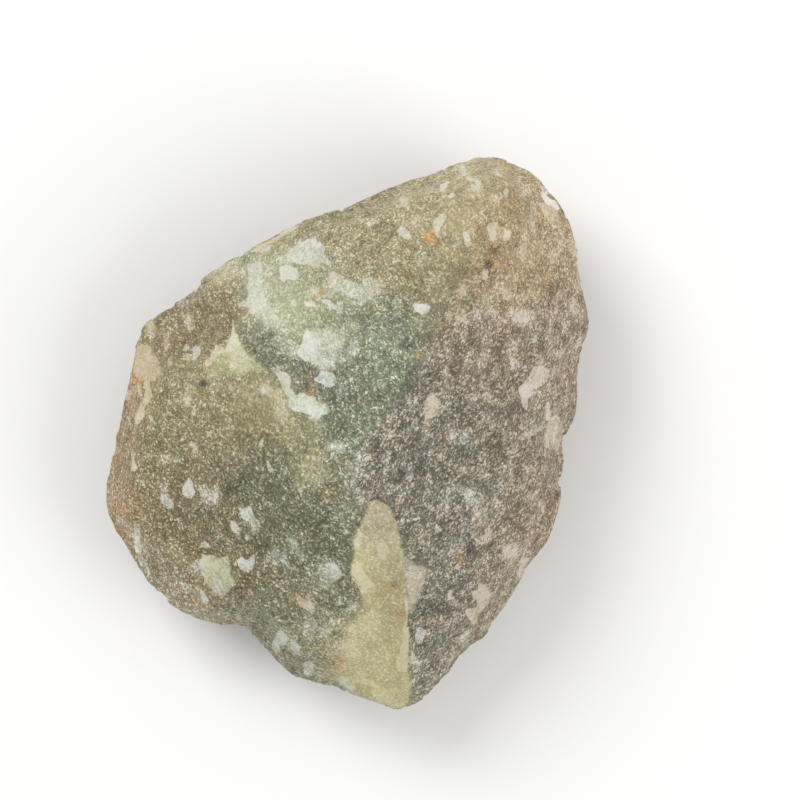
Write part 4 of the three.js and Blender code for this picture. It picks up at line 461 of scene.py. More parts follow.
# pale flakes: x, y, half width, half height, turn, strength, softness of the edge
FLAKES = [
    (-0.1, 9.11, 0.94, 0.94, 0, 0.45, 0.9), (0.1, 10.47, 0.62, 0.94, 0, 0.45, 0.7), (1.25, 8.7, 0.73, 0.52, 0, 0.45, 0.8),
    (2.71, 9.74, 0.52, 0.62, 0, 0.4, 0.8), (3.96, 9.11, 0.36, 0.36, 0, 0.5, 0.6), (2.08, 6.41, 0.47, 0.47, 0, 0.4, 0.8),
    (5.62, 8.49, 0.42, 0.52, 0, 0.4, 0.8), (3.54, 5.16, 0.52, 0.42, 0, 0.4, 0.8), (1.15, 5.05, 0.42, 0.42, 0, 0.4, 0.8),
    (5.21, 5.99, 0.36, 0.47, 0, 0.4, 0.8), (-7.08, 9.74, 0.52, 1.04, 30, 0.5, 0.9), (12.4, 27.24, 1.15, 0.83, 0, 0.35, 1),
    (13.44, 25.36, 0.83, 0.62, 0, 0.3, 1), (14.06, 23.07, 0.62, 0.73, 20, 0.3, 1), (15.94, 27.24, 0.62, 0.47, 0, 0.4, 0.8),
    (14.38, 26.93, 0.62, 0.47, 0, 0.35, 0.8), (18.75, 18.91, 0.42, 0.52, 0, 0.5, 0.7), (5.31, 18.07, 0.31, 0.36, 0, 0.7, 0.5),
    (8.02, 18.7, 0.47, 0.83, 0, 0.5, 0.9), (9.48, 16.2, 0.62, 0.52, 0, 0.5, 1), (5.52, 13.7, 0.42, 0.31, 0, 0.7, 0.5),
    (16.56, 14.95, 0.62, 0.83, 0, 0.5, 0.8), (12.19, 11.82, 0.62, 0.42, 0, 0.45, 0.9), (19.9, 16.2, 0.31, 0.42, 0, 0.6, 0.6),
    (23.44, 13.28, 0.47, 0.83, 0, 0.5, 0.7), (21.77, 8.7, 0.52, 0.62, 0, 0.4, 0.9), (11.88, 0.05, 0.62, 0.42, 20, 0.55, 0.8),
    (6.77, -4.11, 0.47, 0.94, -5, 0.75, 0.3), (13.23, -6.93, 0.62, 1.04, -10, 0.4, 0.8), (9.06, -7.97, 0.31, 0.31, 0, 0.8, 0.5),
    (9.64, -10.05, 0.26, 0.36, 0, 0.9, 0.4), (20.42, -7.34, 0.42, 0.52, 10, 0.7, 0.5), (19.38, -6.61, 0.31, 0.42, 0, 0.6, 0.6),
    (13.33, -0.78, 0.21, 0.62, -20, 0.6, 0.6), (7.81, -23.91, 0.62, 0.52, 0, 0.5, 0.7), (13.02, -10.99, 0.62, 0.52, -20, 0.45, 1),
    (10.62, -1.93, 0.52, 0.31, 20, 0.5, 0.9), (16.88, -3.8, 0.31, 0.31, 0, 0.5, 0.8), (-16.98, -0.57, 0.21, 0.26, 0, 0.8, 0.3),
    (-18.65, -2.66, 0.62, 0.42, 10, 0.6, 0.7), (-11.98, -17.55, 0.36, 0.62, 0, 0.5, 0.7), (-7.08, -21.41, 0.68, 0.73, 0, 0.45, 0.8),
    (-5.31, -22.14, 0.36, 0.73, 20, 0.4, 0.7), (-2.29, -20.47, 0.73, 0.42, 0, 0.5, 0.8), (-3.75, -24.32, 0.42, 0.68, 0, 0.7, 0.4),
    (-0.94, -1.41, 0.94, 0.57, -15, 0.8, 0.6), (0.52, -3.49, 0.23, 1.88, -17, 0.45, 0.5), (-8.75, -0.99, 0.18, 0.57, 24, 0.8, 0.3),
    (-7.92, -3.49, 0.26, 0.78, 26, 0.85, 0.3), (-6.15, -4.01, 0.52, 0.47, 0, 0.5, 1), (-4.9, -5.68, 0.62, 0.47, 0, 0.45, 1),
    (-21.67, -11.93, 0.31, 1.04, 16, 0.8, 0.3), (-20.83, -14.01, 0.31, 0.78, 26, 0.8, 0.3), (-21.77, -10.05, 0.31, 0.62, 10, 0.6, 0.5),
    (-14.48, -0.68, 0.73, 0.73, 0, 0.4, 1), (-17.29, -9.43, 0.31, 0.42, 0, 0.6, 0.7), (-11.25, -14.74, 0.42, 0.42, 0, 0.4, 0.8),
    (-0.62, -9.01, 0.31, 0.42, 0, 0.5, 0.7), (0, -7.97, 0.36, 0.52, 0, 0.5, 0.8), (-0.62, -17.34, 0.36, 0.42, 0, 0.6, 0.6),
    (-13.65, 5.05, 0.42, 0.36, 0, 0.5, 0.7), (-15.62, 8.7, 0.42, 0.62, 0, 0.5, 0.8), (-18.12, 10.78, 0.31, 0.94, -6, 0.4, 0.9),
    (-3.44, -2.76, 0.83, 0.42, 0, 0.35, 1), (-0.1, -22.14, 0.78, 0.47, 0, 0.5, 0.9), (0.94, -20.47, 0.52, 0.42, 0, 0.5, 0.9),
    (22.6, 20.57, 0.42, 0.94, 14, 0.4, 0.7),
]
# drawn patches: strength, softness, tone, outline
PATCHES = [
    (0.66, 0.3, "c", [(-9.9, 19.01), (-8.96, 19.64), (-7.71, 20.36), (-6.25, 21.2), (-4.9, 21.82), (-5.1, 21.41), (-6.25, 20.78), (-7.4, 20.16), (-8.54, 19.53), (-9.38, 18.91)]),
    (0.44, 0.4, "w", [(0.42, -5.57), (0.62, -4.43), (0.94, -2.97), (1.35, -1.61), (1.61, -1.61), (1.46, -2.76), (1.2, -4.01), (0.89, -5.26)]),
    (0.55, 0.4, "k", [(-9.27, 19.11), (-8.65, 19.53), (-7.71, 19.64), (-7.92, 19.11), (-8.75, 18.8)]),
    (0.34, 0.5, "w", [(-13.23, 17.66), (-11.88, 18.18), (-10.94, 17.86), (-11.25, 17.24), (-12.29, 16.61), (-13.23, 16.51), (-13.75, 17.03)]),
    (0.3, 0.6, "c", [(-11.88, 17.24), (-10.42, 17.66), (-10.31, 17.03), (-11.25, 16.3), (-12.29, 16.09)]),
    (0.28, 0.5, "e", [(-14.38, 16.61), (-13.54, 17.14), (-12.5, 17.03), (-12.5, 15.99), (-13.75, 15.68)]),
    (0.7, 0.38, "w", [(-10.31, 17.66), (-9.17, 17.86), (-8.65, 17.45), (-8.85, 16.51), (-8.65, 15.57), (-8.54, 14.64), (-8.23, 13.59), (-7.71, 12.76), (-6.98, 11.93), (-7.19, 11.09), (-8.12, 11.3), (-9.17, 12.03), (-10, 12.76), (-10.31, 13.18), (-11.04, 13.28), (-11.25, 13.7), (-10.42, 13.91), (-10.1, 14.32), (-10.21, 14.95), (-10.42, 15.57), (-10.1, 15.99), (-10.21, 16.82)]),
    (0.5, 0.5, "w", [(-7.71, 12.03), (-6.88, 11.72), (-6.56, 10.78), (-7.08, 10.26), (-7.6, 10.99)]),
    (0.32, 0.7, "w", [(-9.38, 17.86), (-8.33, 17.86), (-7.92, 16.51), (-8.12, 14.95), (-7.92, 13.39), (-7.29, 12.03), (-6.88, 10.78), (-7.71, 10.36), (-8.54, 11.3), (-8.96, 13.07), (-9.38, 14.95)]),
    (0.95, 0.12, "h", [(-6.88, 17.24), (-6.35, 17.55), (-5.73, 17.45), (-5.1, 17.14), (-4.9, 16.61), (-5.1, 16.09), (-5.62, 15.99), (-6.15, 16.2), (-6.46, 15.89), (-6.88, 16.09), (-6.98, 16.72)]),
    (0.78, 0.34, "w", [(-6.25, 18.49), (-5.73, 19.22), (-5.1, 19.53), (-4.9, 20.16), (-4.38, 19.84), (-4.06, 20.47), (-3.65, 20.05), (-3.23, 20.57), (-3.02, 19.84), (-2.4, 19.74), (-2.19, 19.11), (-2.6, 18.7), (-1.98, 18.28), (-1.56, 17.45), (-2.08, 17.66), (-2.71, 17.86), (-3.02, 17.24), (-3.65, 17.86), (-4.48, 17.66), (-5.31, 17.86), (-5.94, 17.86)]),
    (0.66, 0.38, "w", [(-1.67, 16.41), (-1.04, 16.72), (-0.31, 16.09), (0.62, 15.68), (1.67, 15.57), (2.08, 16.2), (2.71, 16.51), (3.02, 15.89), (3.75, 15.89), (3.44, 15.16), (3.96, 14.64), (3.02, 14.32), (2.08, 14.53), (1.46, 13.91), (0.62, 14.22), (-0.21, 14.74), (-1.04, 14.95)]),
    (0.5, 0.4, "w", [(-1.35, 16.41), (-0.62, 16.51), (0, 15.89), (-0.1, 15.16), (-0.94, 15.16)]),
    (0.42, 0.6, "w", [(-0.83, 10.78), (0.62, 10.78), (1.56, 9.95), (1.35, 8.7), (0.42, 7.34), (-0.62, 7.45), (-1.04, 8.91)]),
    (0.45, 0.7, "w", [(-6.88, 18.49), (-6.04, 18.91), (-5.1, 18.91), (-4.79, 18.07), (-5.62, 17.66), (-6.67, 17.86)]),
    (0.6, 0.4, "w", [(-0.83, 13.8), (-0.31, 13.7), (-0.31, 12.86), (-0.73, 12.34), (-1.04, 13.07)]),
    (0.55, 0.7, "k", [(-3.54, 18.28), (-2.71, 18.07), (-2.71, 17.24), (-3.44, 17.24)]),
    (0.2, 0.8, "w", [(-8.54, 17.45), (-6.88, 17.86), (-6.67, 16.41), (-7.29, 14.95), (-8.12, 15.57)]),
    (0.8, 0.35, "w", [(-5.73, 13.91), (-5.31, 14.01), (-5.1, 13.49), (-5.42, 13.18), (-5.73, 13.39)]),
    (0.95, 0.15, "w", [(-4.38, 13.8), (-3.75, 13.7), (-3.23, 13.7), (-3.02, 13.39), (-3.54, 13.18), (-4.06, 13.28)]),
    (0.7, 0.5, "w", [(-3.44, 15.26), (-2.92, 15.05), (-3.02, 14.64), (-3.44, 14.74)]),
    (0.7, 0.3, "w", [(-2.6, 14.01), (-1.88, 13.91), (-1.25, 13.39), (-0.73, 12.97), (-0.62, 12.24), (-1.04, 12.76), (-1.67, 13.28), (-2.29, 13.59)]),
    (0.7, 0.6, "k", [(-1.98, 16.3), (-1.35, 16.72), (-0.94, 16.2), (-1.15, 15.57), (-1.77, 15.57)]),
    (0.5, 0.6, "w", [(-1.25, 15.89), (-0.1, 16.09), (0.62, 15.57), (2.08, 15.36), (2.71, 15.99), (3.54, 15.99), (3.75, 15.16), (3.12, 14.53), (2.08, 14.53), (1.88, 13.91), (0.83, 14.11), (0, 14.74), (-1.04, 14.95)]),
    (0.6, 0.7, "w", [(1.04, 14.32), (2.08, 14.64), (2.71, 14.11), (2.08, 13.49), (1.25, 13.59)]),
    (0.12, 0.9, "g", [(-7.71, 14.95), (-5.62, 15.57), (-4.17, 14.74), (-4.79, 12.03), (-6.46, 10.78), (-7.71, 11.61), (-8.12, 13.39)]),
    (0.6, 0.35, "b", [(-7.81, 6.93), (-7.29, 7.14), (-6.88, 6.93), (-6.88, 6.51), (-7.4, 6.51)]),
    (0.95, 0.15, "h", [(-7.4, 6.41), (-6.77, 6.61), (-6.25, 6.3), (-5.94, 5.99), (-5.94, 5.57), (-5.83, 5.05), (-5.62, 4.53), (-5.21, 4.11), (-4.69, 3.91), (-5.1, 3.49), (-5.73, 3.7), (-6.15, 4.01), (-6.56, 4.64), (-6.77, 5.36), (-6.98, 5.89)]),
    (0.9, 0.24, "v", [(-5.94, 3.28), (-5.31, 3.91), (-4.48, 4.22), (-3.85, 3.8), (-3.23, 3.7), (-2.81, 3.18), (-2.19, 3.07), (-1.67, 2.55), (-2.08, 2.14), (-2.6, 2.03), (-2.92, 1.51), (-3.54, 1.93), (-4.27, 2.14), (-4.9, 2.34), (-5.42, 2.34), (-5.83, 2.76)]),
    (0.55, 0.45, "w", [(-4.17, 2.34), (-2.92, 2.34), (-2.71, 1.61), (-3.33, 1.3), (-3.85, 1.72)]),
    (0.8, 0.4, "w", [(-2.71, 2.45), (-1.88, 2.55), (-1.77, 2.14), (-2.5, 1.93)]),
    (0.6, 0.6, "w", [(-8.85, 4.84), (-8.12, 4.95), (-7.81, 4.43), (-8.33, 4.01), (-8.85, 4.32)]),
    (0.5, 0.8, "k", [(-7.81, 4.43), (-6.98, 4.43), (-6.98, 3.49), (-7.71, 3.49)]),
    (0.5, 0.9, "w", [(-7.5, 3.07), (-6.04, 3.28), (-5.62, 2.24), (-6.46, 1.41), (-7.29, 1.93)]),
    (0.86, 0.24, "w", [(-4.48, 10.05), (-3.96, 10.68), (-3.33, 10.68), (-2.81, 10.36), (-2.6, 9.22), (-2.6, 7.86), (-2.81, 7.14), (-3.44, 7.24), (-3.96, 7.45), (-4.48, 7.76), (-4.9, 8.18), (-5.1, 8.7), (-4.58, 9.11), (-4.48, 9.64)]),
    (0.66, 0.5, "w", [(-3.33, 10.68), (-2.71, 10.47), (-1.67, 10.68), (-1.04, 10.16), (-0.62, 9.32), (-0.83, 8.49), (-1.25, 7.86), (-1.04, 7.24), (-1.46, 6.72), (-2.29, 6.61), (-2.92, 6.72), (-3.33, 7.24), (-2.92, 7.86)]),
    (0.3, 0.8, "g", [(-4.79, -2.34), (-3.54, -2.24), (-2.71, -2.97), (-2.29, -4.32), (-2.4, -5.78), (-3.33, -5.47), (-4.17, -4.43), (-4.79, -3.39)]),
    (0.4, 0.6, "w", [(-6.77, 9.22), (-5.83, 9.11), (-5.1, 8.7), (-5.21, 8.18), (-6.04, 8.07), (-6.77, 8.49)]),
    (0.86, 0.22, "b", [(-3.33, 5.68), (-2.81, 5.99), (-2.6, 6.51), (-1.88, 6.51), (-1.25, 6.3), (-1.04, 5.68), (-1.25, 5.16), (-1.56, 4.84), (-2.08, 5.05), (-2.5, 5.26), (-2.92, 5.47)]),
    (0.6, 0.5, "w", [(0.42, 9.64), (0.83, 9.53), (0.73, 8.91), (0.42, 9.01)]),
    (0.8, 0.3, "w", [(0.31, 5.89), (0.73, 5.89), (0.73, 5.47), (0.42, 5.36)]),
    (0.84, 0.12, "c", [(-13.54, 9.32), (-13.12, 9.11), (-12.71, 9.01), (-12.92, 8.59), (-13.44, 8.28), (-13.85, 7.76), (-13.96, 7.24), (-14.27, 7.03), (-14.58, 7.34), (-14.38, 7.76), (-13.96, 8.07), (-13.75, 8.7)]),
    (0.7, 0.3, "c", [(-11.98, 11.72), (-11.77, 11.82), (-11.56, 11.2), (-11.67, 10.57), (-11.98, 10.78)]),
    (0.72, 0.22, "h", [(-11.88, 11.51), (-11.56, 10.78), (-11.25, 10.05), (-11.04, 9.32), (-11.46, 8.8), (-12.08, 8.59), (-12.6, 8.7), (-12.4, 9.43), (-12.08, 10.26)]),
    (0.42, 0.45, "h", [(-12.08, 8.7), (-11.04, 9.32), (-10.62, 8.49), (-10.21, 7.76), (-10.31, 6.93), (-11.04, 6.51), (-11.88, 6.93), (-12.29, 7.86)]),
    (0.12, 0.7, "y", [(-14.69, 7.03), (-13.75, 7.66), (-12.71, 8.49), (-12.5, 7.03), (-12.92, 5.78), (-13.75, 5.57), (-14.48, 5.99)]),
    (0.68, 0.18, "s", [(-21.35, 9.32), (-20.62, 9.11), (-20.1, 8.39), (-19.69, 7.66), (-19.38, 6.93), (-19.38, 6.2), (-19.79, 5.68), (-20.42, 5.47), (-21.04, 5.47), (-21.67, 5.68), (-22.08, 6.2), (-22.08, 7.03), (-21.88, 8.07), (-21.67, 8.91)]),
    (0.78, 0.14, "y", [(-20.83, 5.68), (-20.42, 5.26), (-20.21, 4.53), (-20.21, 3.91), (-20.52, 3.39), (-20.94, 2.97), (-21.35, 2.66), (-21.56, 2.97), (-21.25, 3.49), (-20.94, 4.01), (-20.83, 4.53), (-20.94, 5.16)]),
    (0.84, 0.12, "c", [(-21.67, 2.76), (-21.25, 2.66), (-21.04, 2.34), (-21.15, 1.72), (-21.46, 1.3), (-21.88, 0.99), (-22.08, 1.3), (-21.98, 1.82), (-21.77, 2.34)]),
    (0.7, 0.2, "c", [(-21.77, 5.16), (-21.46, 4.84), (-21.25, 4.32), (-21.25, 3.91), (-21.56, 4.11), (-21.77, 4.64)]),
    (0.7, 0.2, "c", [(-22.92, 4.53), (-22.5, 4.53), (-22.29, 4.22), (-22.6, 3.91), (-22.71, 3.49), (-23.02, 3.59), (-23.02, 4.11)]),
    (0.75, 0.5, "c", [(-20.94, 11.72), (-20.21, 11.93), (-20, 10.99), (-20.31, 10.16), (-20.83, 10.57)]),
    (0.74, 0.44, "c", [(-16.77, 12.34), (-16.25, 12.24), (-16.04, 10.99), (-16.35, 10.57), (-16.67, 11.3)]),
    (0.66, 0.5, "k", [(-19.06, 10.36), (-18.65, 10.16), (-18.54, 8.7), (-18.85, 8.49)]),
    (0.74, 0.1, "w", [(-16.98, 8.7), (-16.67, 9.32), (-16.35, 9.11), (-16.25, 8.8), (-15.94, 8.8), (-16.25, 8.49), (-16.67, 8.59)]),
    (0.55, 0.3, "w", [(-16.98, 8.07), (-16.46, 8.39), (-16.15, 8.07), (-16.25, 7.55), (-16.88, 7.66)]),
    (0.8, 0.1, "w", [(-15.94, 8.8), (-15.62, 9.22), (-15.31, 9.11), (-15.21, 8.49), (-15.42, 7.97), (-15.62, 7.55), (-15.94, 7.66), (-16.04, 8.28)]),
    (0.6, 0.4, "k", [(-18.54, 7.66), (-18.23, 7.97), (-18.12, 7.03), (-18.54, 7.03)]),
    (0.6, 0.5, "w", [(-17.4, 13.59), (-16.46, 13.8), (-16.25, 13.28), (-17.19, 13.07)]),
    (0.5, 0.6, "c", [(-16.98, 4.32), (-16.46, 5.05), (-15.94, 4.84), (-16.15, 3.91), (-16.56, 3.07), (-16.98, 3.28)]),
    (0.6, 0.3, "w", [(-12.29, 5.47), (-12.08, 5.36), (-12.08, 4.43), (-12.29, 4.53)]),
    (0.7, 0.4, "w", [(-16.15, 2.03), (-15.62, 2.66), (-15.42, 2.34), (-15.94, 1.82)]),
    (0.9, 0.12, "w", [(-16.25, -4.74), (-15.94, -5.26), (-15.83, -5.89), (-15.94, -6.61), (-16.25, -6.82), (-16.67, -6.72), (-16.98, -6.2), (-16.98, -5.57), (-16.67, -5.05)]),
    (0.8, 0.2, "w", [(-19.38, -6.09), (-18.96, -6.51), (-18.33, -6.82), (-18.02, -7.24), (-18.02, -7.76), (-18.44, -7.86), (-18.75, -7.45), (-19.27, -7.14)]),
    (0.5, 0.7, "w", [(-19.38, -4.84), (-18.96, -4.95), (-18.54, -6.09), (-18.33, -6.82), (-18.96, -6.51), (-19.38, -5.89)]),
    (0.85, 0.15, "w", [(-16.15, -0.68), (-15.73, -1.09), (-15.31, -1.61), (-15.52, -1.82), (-15.94, -1.61), (-16.25, -1.09)]),
    (0.4, 0.6, "k", [(-16.04, -1.93), (-15.42, -1.93), (-15.31, -2.66), (-15.83, -2.76)]),
    (0.9, 0.15, "c", [(-22.29, -2.76), (-22.08, -3.07), (-21.67, -3.59), (-21.88, -3.91), (-22.29, -3.8), (-22.4, -3.28)]),
    (0.6, 0.3, "c", [(-22.4, -1.72), (-22.19, -1.82), (-22.19, -2.86), (-22.4, -2.86)]),
    (0.5, 0.7, "w", [(-19.27, -2.34), (-18.12, -2.24), (-17.08, -2.45), (-17.4, -2.97), (-18.54, -2.97), (-19.27, -2.86)]),
    (0.65, 0.7, "w", [(-15.1, -5.78), (-14.69, -5.57), (-13.96, -5.57), (-13.54, -6.09), (-13.33, -6.72), (-13.23, -7.34), (-13.85, -7.86), (-14.38, -7.45), (-14.9, -6.72)]),
    (0.92, 0.14, "w", [(-11.25, -7.76), (-10.73, -7.97), (-10.1, -7.66), (-9.79, -8.07), (-9.48, -8.7), (-9.58, -9.01), (-10, -9.01), (-10.52, -8.91), (-10.94, -8.49)]),
    (0.72, 0.25, "w", [(-9.9, -8.39), (-9.38, -8.8), (-9.06, -9.43), (-8.96, -10.26), (-9.58, -9.84), (-10, -9.11)]),
    (0.9, 0.12, "w", [(-12.08, -9.01), (-11.67, -9.11), (-11.35, -9.74), (-11.04, -10.57), (-11.56, -10.36), (-11.98, -10.16)]),
    (0.75, 0.3, "w", [(-10.73, -10.99), (-10.31, -10.26), (-9.58, -10.99), (-10.21, -11.2)]),
    (0.75, 0.4, "w", [(-15.42, -11.82), (-15.1, -11.41), (-14.48, -11.41), (-13.96, -11.93), (-14.48, -11.93)]),
    (0.8, 0.12, "g", [(-15, -12.76), (-14.06, -12.76), (-13.23, -13.07), (-12.4, -12.76), (-12.19, -13.28), (-12.08, -14.11), (-11.98, -14.95), (-11.46, -15.57), (-11.88, -16.09), (-12.4, -16.61), (-13.02, -17.03), (-13.75, -16.51), (-14.17, -16.09), (-14.79, -15.26), (-15.1, -14.64), (-15.21, -13.7)]),
    (0.6, 0.6, "w", [(-16.25, -13.7), (-15.42, -13.28), (-14.9, -12.86), (-14.9, -14.84), (-15.94, -14.64)]),
    (0.6, 0.3, "w", [(-14.06, -15.68), (-13.23, -15.78), (-12.92, -16.93), (-13.75, -16.51)]),
    (0.9, 0.14, "w", [(-11.35, -13.28), (-10.94, -12.86), (-10.42, -13.18), (-10, -12.97), (-9.58, -12.66), (-9.48, -13.49), (-9.79, -14.11), (-10.42, -14.32), (-11.04, -14.11)]),
    (0.66, 0.55, "w", [(-8.23, -12.34), (-7.5, -12.03), (-7.08, -12.34), (-6.46, -12.24), (-6.04, -12.97), (-5.83, -13.7), (-6.35, -14.22), (-6.88, -13.7), (-7.4, -13.91), (-7.92, -13.49), (-8.33, -13.39)]),
    (0.6, 0.6, "w", [(-2.92, -13.8), (-1.88, -13.28), (-1.25, -13.49), (-1.25, -15.68), (-1.88, -15.99), (-2.5, -15.89), (-2.81, -15.16)]),
    (0.8, 0.12, "w", [(-1.88, -13.39), (-1.04, -13.49), (-0.62, -14.32), (-0.62, -15.05), (-1.15, -15.57), (-1.67, -15.89), (-1.56, -14.64)]),
    (0.8, 0.3, "w", [(-15.21, -16.3), (-14.79, -16.51), (-14.48, -17.14), (-14.38, -17.66), (-14.9, -17.66)]),
    (0.55, 0.55, "w", [(-6.15, -10.57), (-5.42, -10.68), (-4.9, -11.41), (-4.48, -12.34), (-4.06, -13.18), (-4.79, -13.28), (-5.42, -12.34), (-5.94, -11.61)]),
    (0.45, 0.5, "t", [(-6.04, -10.68), (-5.52, -10.89), (-5.1, -11.61), (-4.79, -12.34), (-4.27, -13.07), (-4.9, -12.86), (-5.31, -12.14), (-5.83, -11.51)]),
    (0.72, 0.3, "c", [(-5.21, -16.61), (-4.69, -17.03), (-4.06, -17.66), (-3.54, -18.18), (-3.33, -18.7), (-3.96, -18.39), (-4.58, -17.97), (-5.1, -17.34)]),
    (0.8, 0.34, "w", [(-7.71, -21.82), (-7.4, -20.89), (-6.77, -20.47), (-6.46, -21.09), (-5.94, -21.2), (-6.25, -21.93), (-6.88, -22.24), (-7.08, -22.76), (-7.6, -22.55)]),
    (0.74, 0.25, "w", [(-5.83, -21.51), (-5.42, -21.51), (-4.9, -22.34), (-4.48, -23.07), (-5, -23.18), (-5.52, -22.55)]),
    (0.64, 0.34, "w", [(-4.48, -24.01), (-3.85, -23.7), (-3.33, -24.11), (-3.33, -24.84), (-3.96, -25.16), (-4.38, -24.74)]),
    (0.5, 0.6, "w", [(-4.38, -19.84), (-3.75, -19.43), (-3.12, -19.74), (-3.23, -20.47), (-3.96, -20.78), (-4.38, -20.36)]),
    (0.5, 0.6, "w", [(-2.71, -20.26), (-1.88, -19.84), (-1.35, -20.36), (-1.88, -21.09), (-2.6, -20.89)]),
    (0.7, 0.4, "w", [(-4.06, -17.45), (-3.44, -17.76), (-3.33, -18.49), (-3.85, -18.18)]),
    (0.6, 0.4, "w", [(-12.08, -17.14), (-11.67, -17.34), (-11.67, -18.18), (-11.98, -18.07)]),
    (0.6, 0.3, "w", [(-11.56, -18.49), (-11.35, -18.49), (-10.94, -19.43), (-11.15, -19.43)]),
    (0.6, 0.28, "w", [(-21.88, -9.74), (-21.35, -9.95), (-21.46, -11.09), (-21.25, -11.93), (-21.56, -12.34), (-21.88, -11.61), (-21.98, -10.68)]),
    (0.5, 0.35, "w", [(-21.46, -12.45), (-20.94, -13.18), (-20.62, -14.22), (-21.04, -14.43), (-21.46, -13.49)]),
    (0.8, 0.15, "e", [(8.65, 4.11), (9.06, 4.11), (9.58, 3.59), (9.9, 2.97), (10.21, 2.97), (10.42, 2.55), (9.69, 2.03), (9.17, 1.72), (8.65, 1.61), (8.23, 1.41), (8.23, 2.45), (8.33, 3.28)]),
    (0.95, 0.12, "k", [(18.12, 4.64), (18.65, 5.36), (19.48, 5.47), (20.31, 5.57), (20.21, 4.95), (19.38, 4.43), (19.17, 3.8), (19.06, 3.07), (18.85, 2.34), (18.44, 2.86), (18.23, 3.59)]),
    (0.8, 0.3, "k", [(19.69, 6.72), (20.42, 7.03), (21.25, 6.41), (21.04, 5.78), (20.21, 5.36), (19.17, 4.95), (18.44, 4.74), (18.65, 5.47), (19.17, 6.09)]),
    (0.95, 0.1, "k", [(21.04, 3.28), (21.25, 3.18), (21.35, 2.24), (21.25, 1.41), (20.94, 1.41), (20.94, 2.24)]),
    (0.75, 0.3, "c", [(21.25, 1.51), (22.08, 1.93), (22.5, 0.89), (22.5, -0.68), (22.29, -1.72), (21.56, -1.72), (20.83, -1.41), (20.73, -0.47), (20.94, 0.57)]),
    (0.6, 0.4, "k", [(17.71, -0.47), (18.54, -0.05), (19.58, 0.36), (20.73, 0.99), (20.83, 0.68), (19.79, 0.05), (19.17, -0.47), (18.33, -0.68)]),
    (0.6, 0.7, "w", [(11.04, 0.16), (11.88, 0.68), (12.71, 0.36), (12.71, -0.47), (11.88, -0.78), (11.15, -0.68)]),
    (0.75, 0.4, "k", [(6.46, -3.39), (6.88, -3.07), (7.19, -3.59), (7.08, -4.64), (6.77, -5.16), (6.46, -4.43)]),
    (0.85, 0.38, "m", [(12.5, -5.89), (12.92, -5.57), (13.33, -5.99), (13.33, -6.72), (12.92, -7.24), (12.5, -6.72)]),
    (0.46, 0.55, "m", [(12.29, -5.68), (13.54, -5.68), (14.06, -6.51), (13.85, -7.76), (13.23, -8.7), (12.6, -7.66)]),
    (0.8, 0.12, "e", [(13.96, -15.57), (14.48, -15.99), (15, -16.51), (14.9, -17.34), (14.48, -18.07), (13.96, -18.59), (13.65, -18.39), (13.75, -17.86), (13.65, -17.34), (13.33, -17.03), (13.12, -16.51), (13.75, -16.3)]),
    (0.84, 0.2, "c", [(12.5, -18.49), (13.02, -18.28), (13.54, -18.28), (13.54, -19.01), (13.23, -19.95), (12.92, -19.53), (12.71, -19.01)]),
    (0.7, 0.3, "y", [(13.54, -18.28), (13.96, -18.28), (13.85, -19.01), (13.65, -19.64), (13.33, -20.16), (13.23, -19.64)]),
    (0.65, 0.5, "w", [(12.29, -20.47), (12.81, -20.47), (12.5, -21.2), (12.71, -21.72), (12.19, -22.24), (11.88, -21.61)]),
    (0.6, 0.6, "k", [(16.25, -11.82), (17.29, -11.61), (17.71, -12.45), (17.4, -13.18), (16.77, -12.97)]),
    (0.65, 0.3, "k", [(18.33, -12.86), (19.06, -12.86), (18.85, -13.8), (18.54, -14.64), (18.12, -15.16), (17.92, -14.43), (18.12, -13.59)]),
    (0.6, 0.5, "k", [(18.23, -12.03), (19.06, -11.93), (19.27, -12.55), (18.54, -12.76)]),
    (0.7, 0.3, "k", [(10.62, -16.3), (10.94, -16.3), (11.04, -17.34), (10.73, -17.34)]),
    (0.6, 0.4, "k", [(11.15, -17.55), (11.67, -17.45), (11.77, -18.07), (11.25, -18.07)]),
    (0.7, 0.4, "w", [(11.56, -13.8), (11.98, -13.8), (11.98, -14.32), (11.67, -14.32)]),
    (0.85, 0.2, "w", [(7.4, -20.47), (7.81, -20.16), (8.23, -20.68), (8.12, -21.51), (7.5, -22.03), (7.29, -21.3)]),
    (0.5, 0.6, "w", [(6.88, -23.28), (7.71, -23.39), (7.71, -24.01), (6.98, -24.11)]),
    (0.95, 0.12, "h", [(9.79, 25.68), (10.1, 25.99), (10.52, 26.3), (10.73, 26.2), (10.42, 25.68), (10.21, 25.26), (9.9, 25.36)]),
    (0.95, 0.15, "h", [(10.62, 24.74), (11.04, 24.95), (11.56, 24.95), (11.04, 24.53)]),
    (0.72, 0.28, "h", [(9.79, 22.66), (10.42, 22.97), (10.42, 22.34), (10.1, 21.82), (9.79, 21.3), (9.79, 20.57), (9.48, 20.47), (9.38, 21.09), (9.06, 21.41), (8.96, 21.82), (9.38, 22.24)]),
    (0.85, 0.3, "h", [(5.62, 21.61), (6.15, 21.41), (6.56, 20.89), (6.67, 20.26), (6.15, 20.36), (5.62, 20.78), (5.31, 21.09)]),
    (0.7, 0.6, "w", [(1.88, 22.03), (2.71, 22.24), (3.33, 22.14), (3.02, 21.72), (2.4, 21.51)]),
    (0.6, 0.5, "k", [(6.04, 24.53), (6.46, 24.22), (6.15, 23.49), (5.73, 23.59)]),
    (0.6, 0.6, "k", [(7.4, 22.97), (7.71, 22.66), (7.29, 21.82), (6.88, 21.41), (6.88, 22.03)]),
    (0.85, 0.28, "h", [(12.4, 21.09), (12.81, 20.78), (12.92, 20.16), (13.12, 19.64), (12.6, 19.43), (12.29, 20.16), (12.19, 20.68)]),
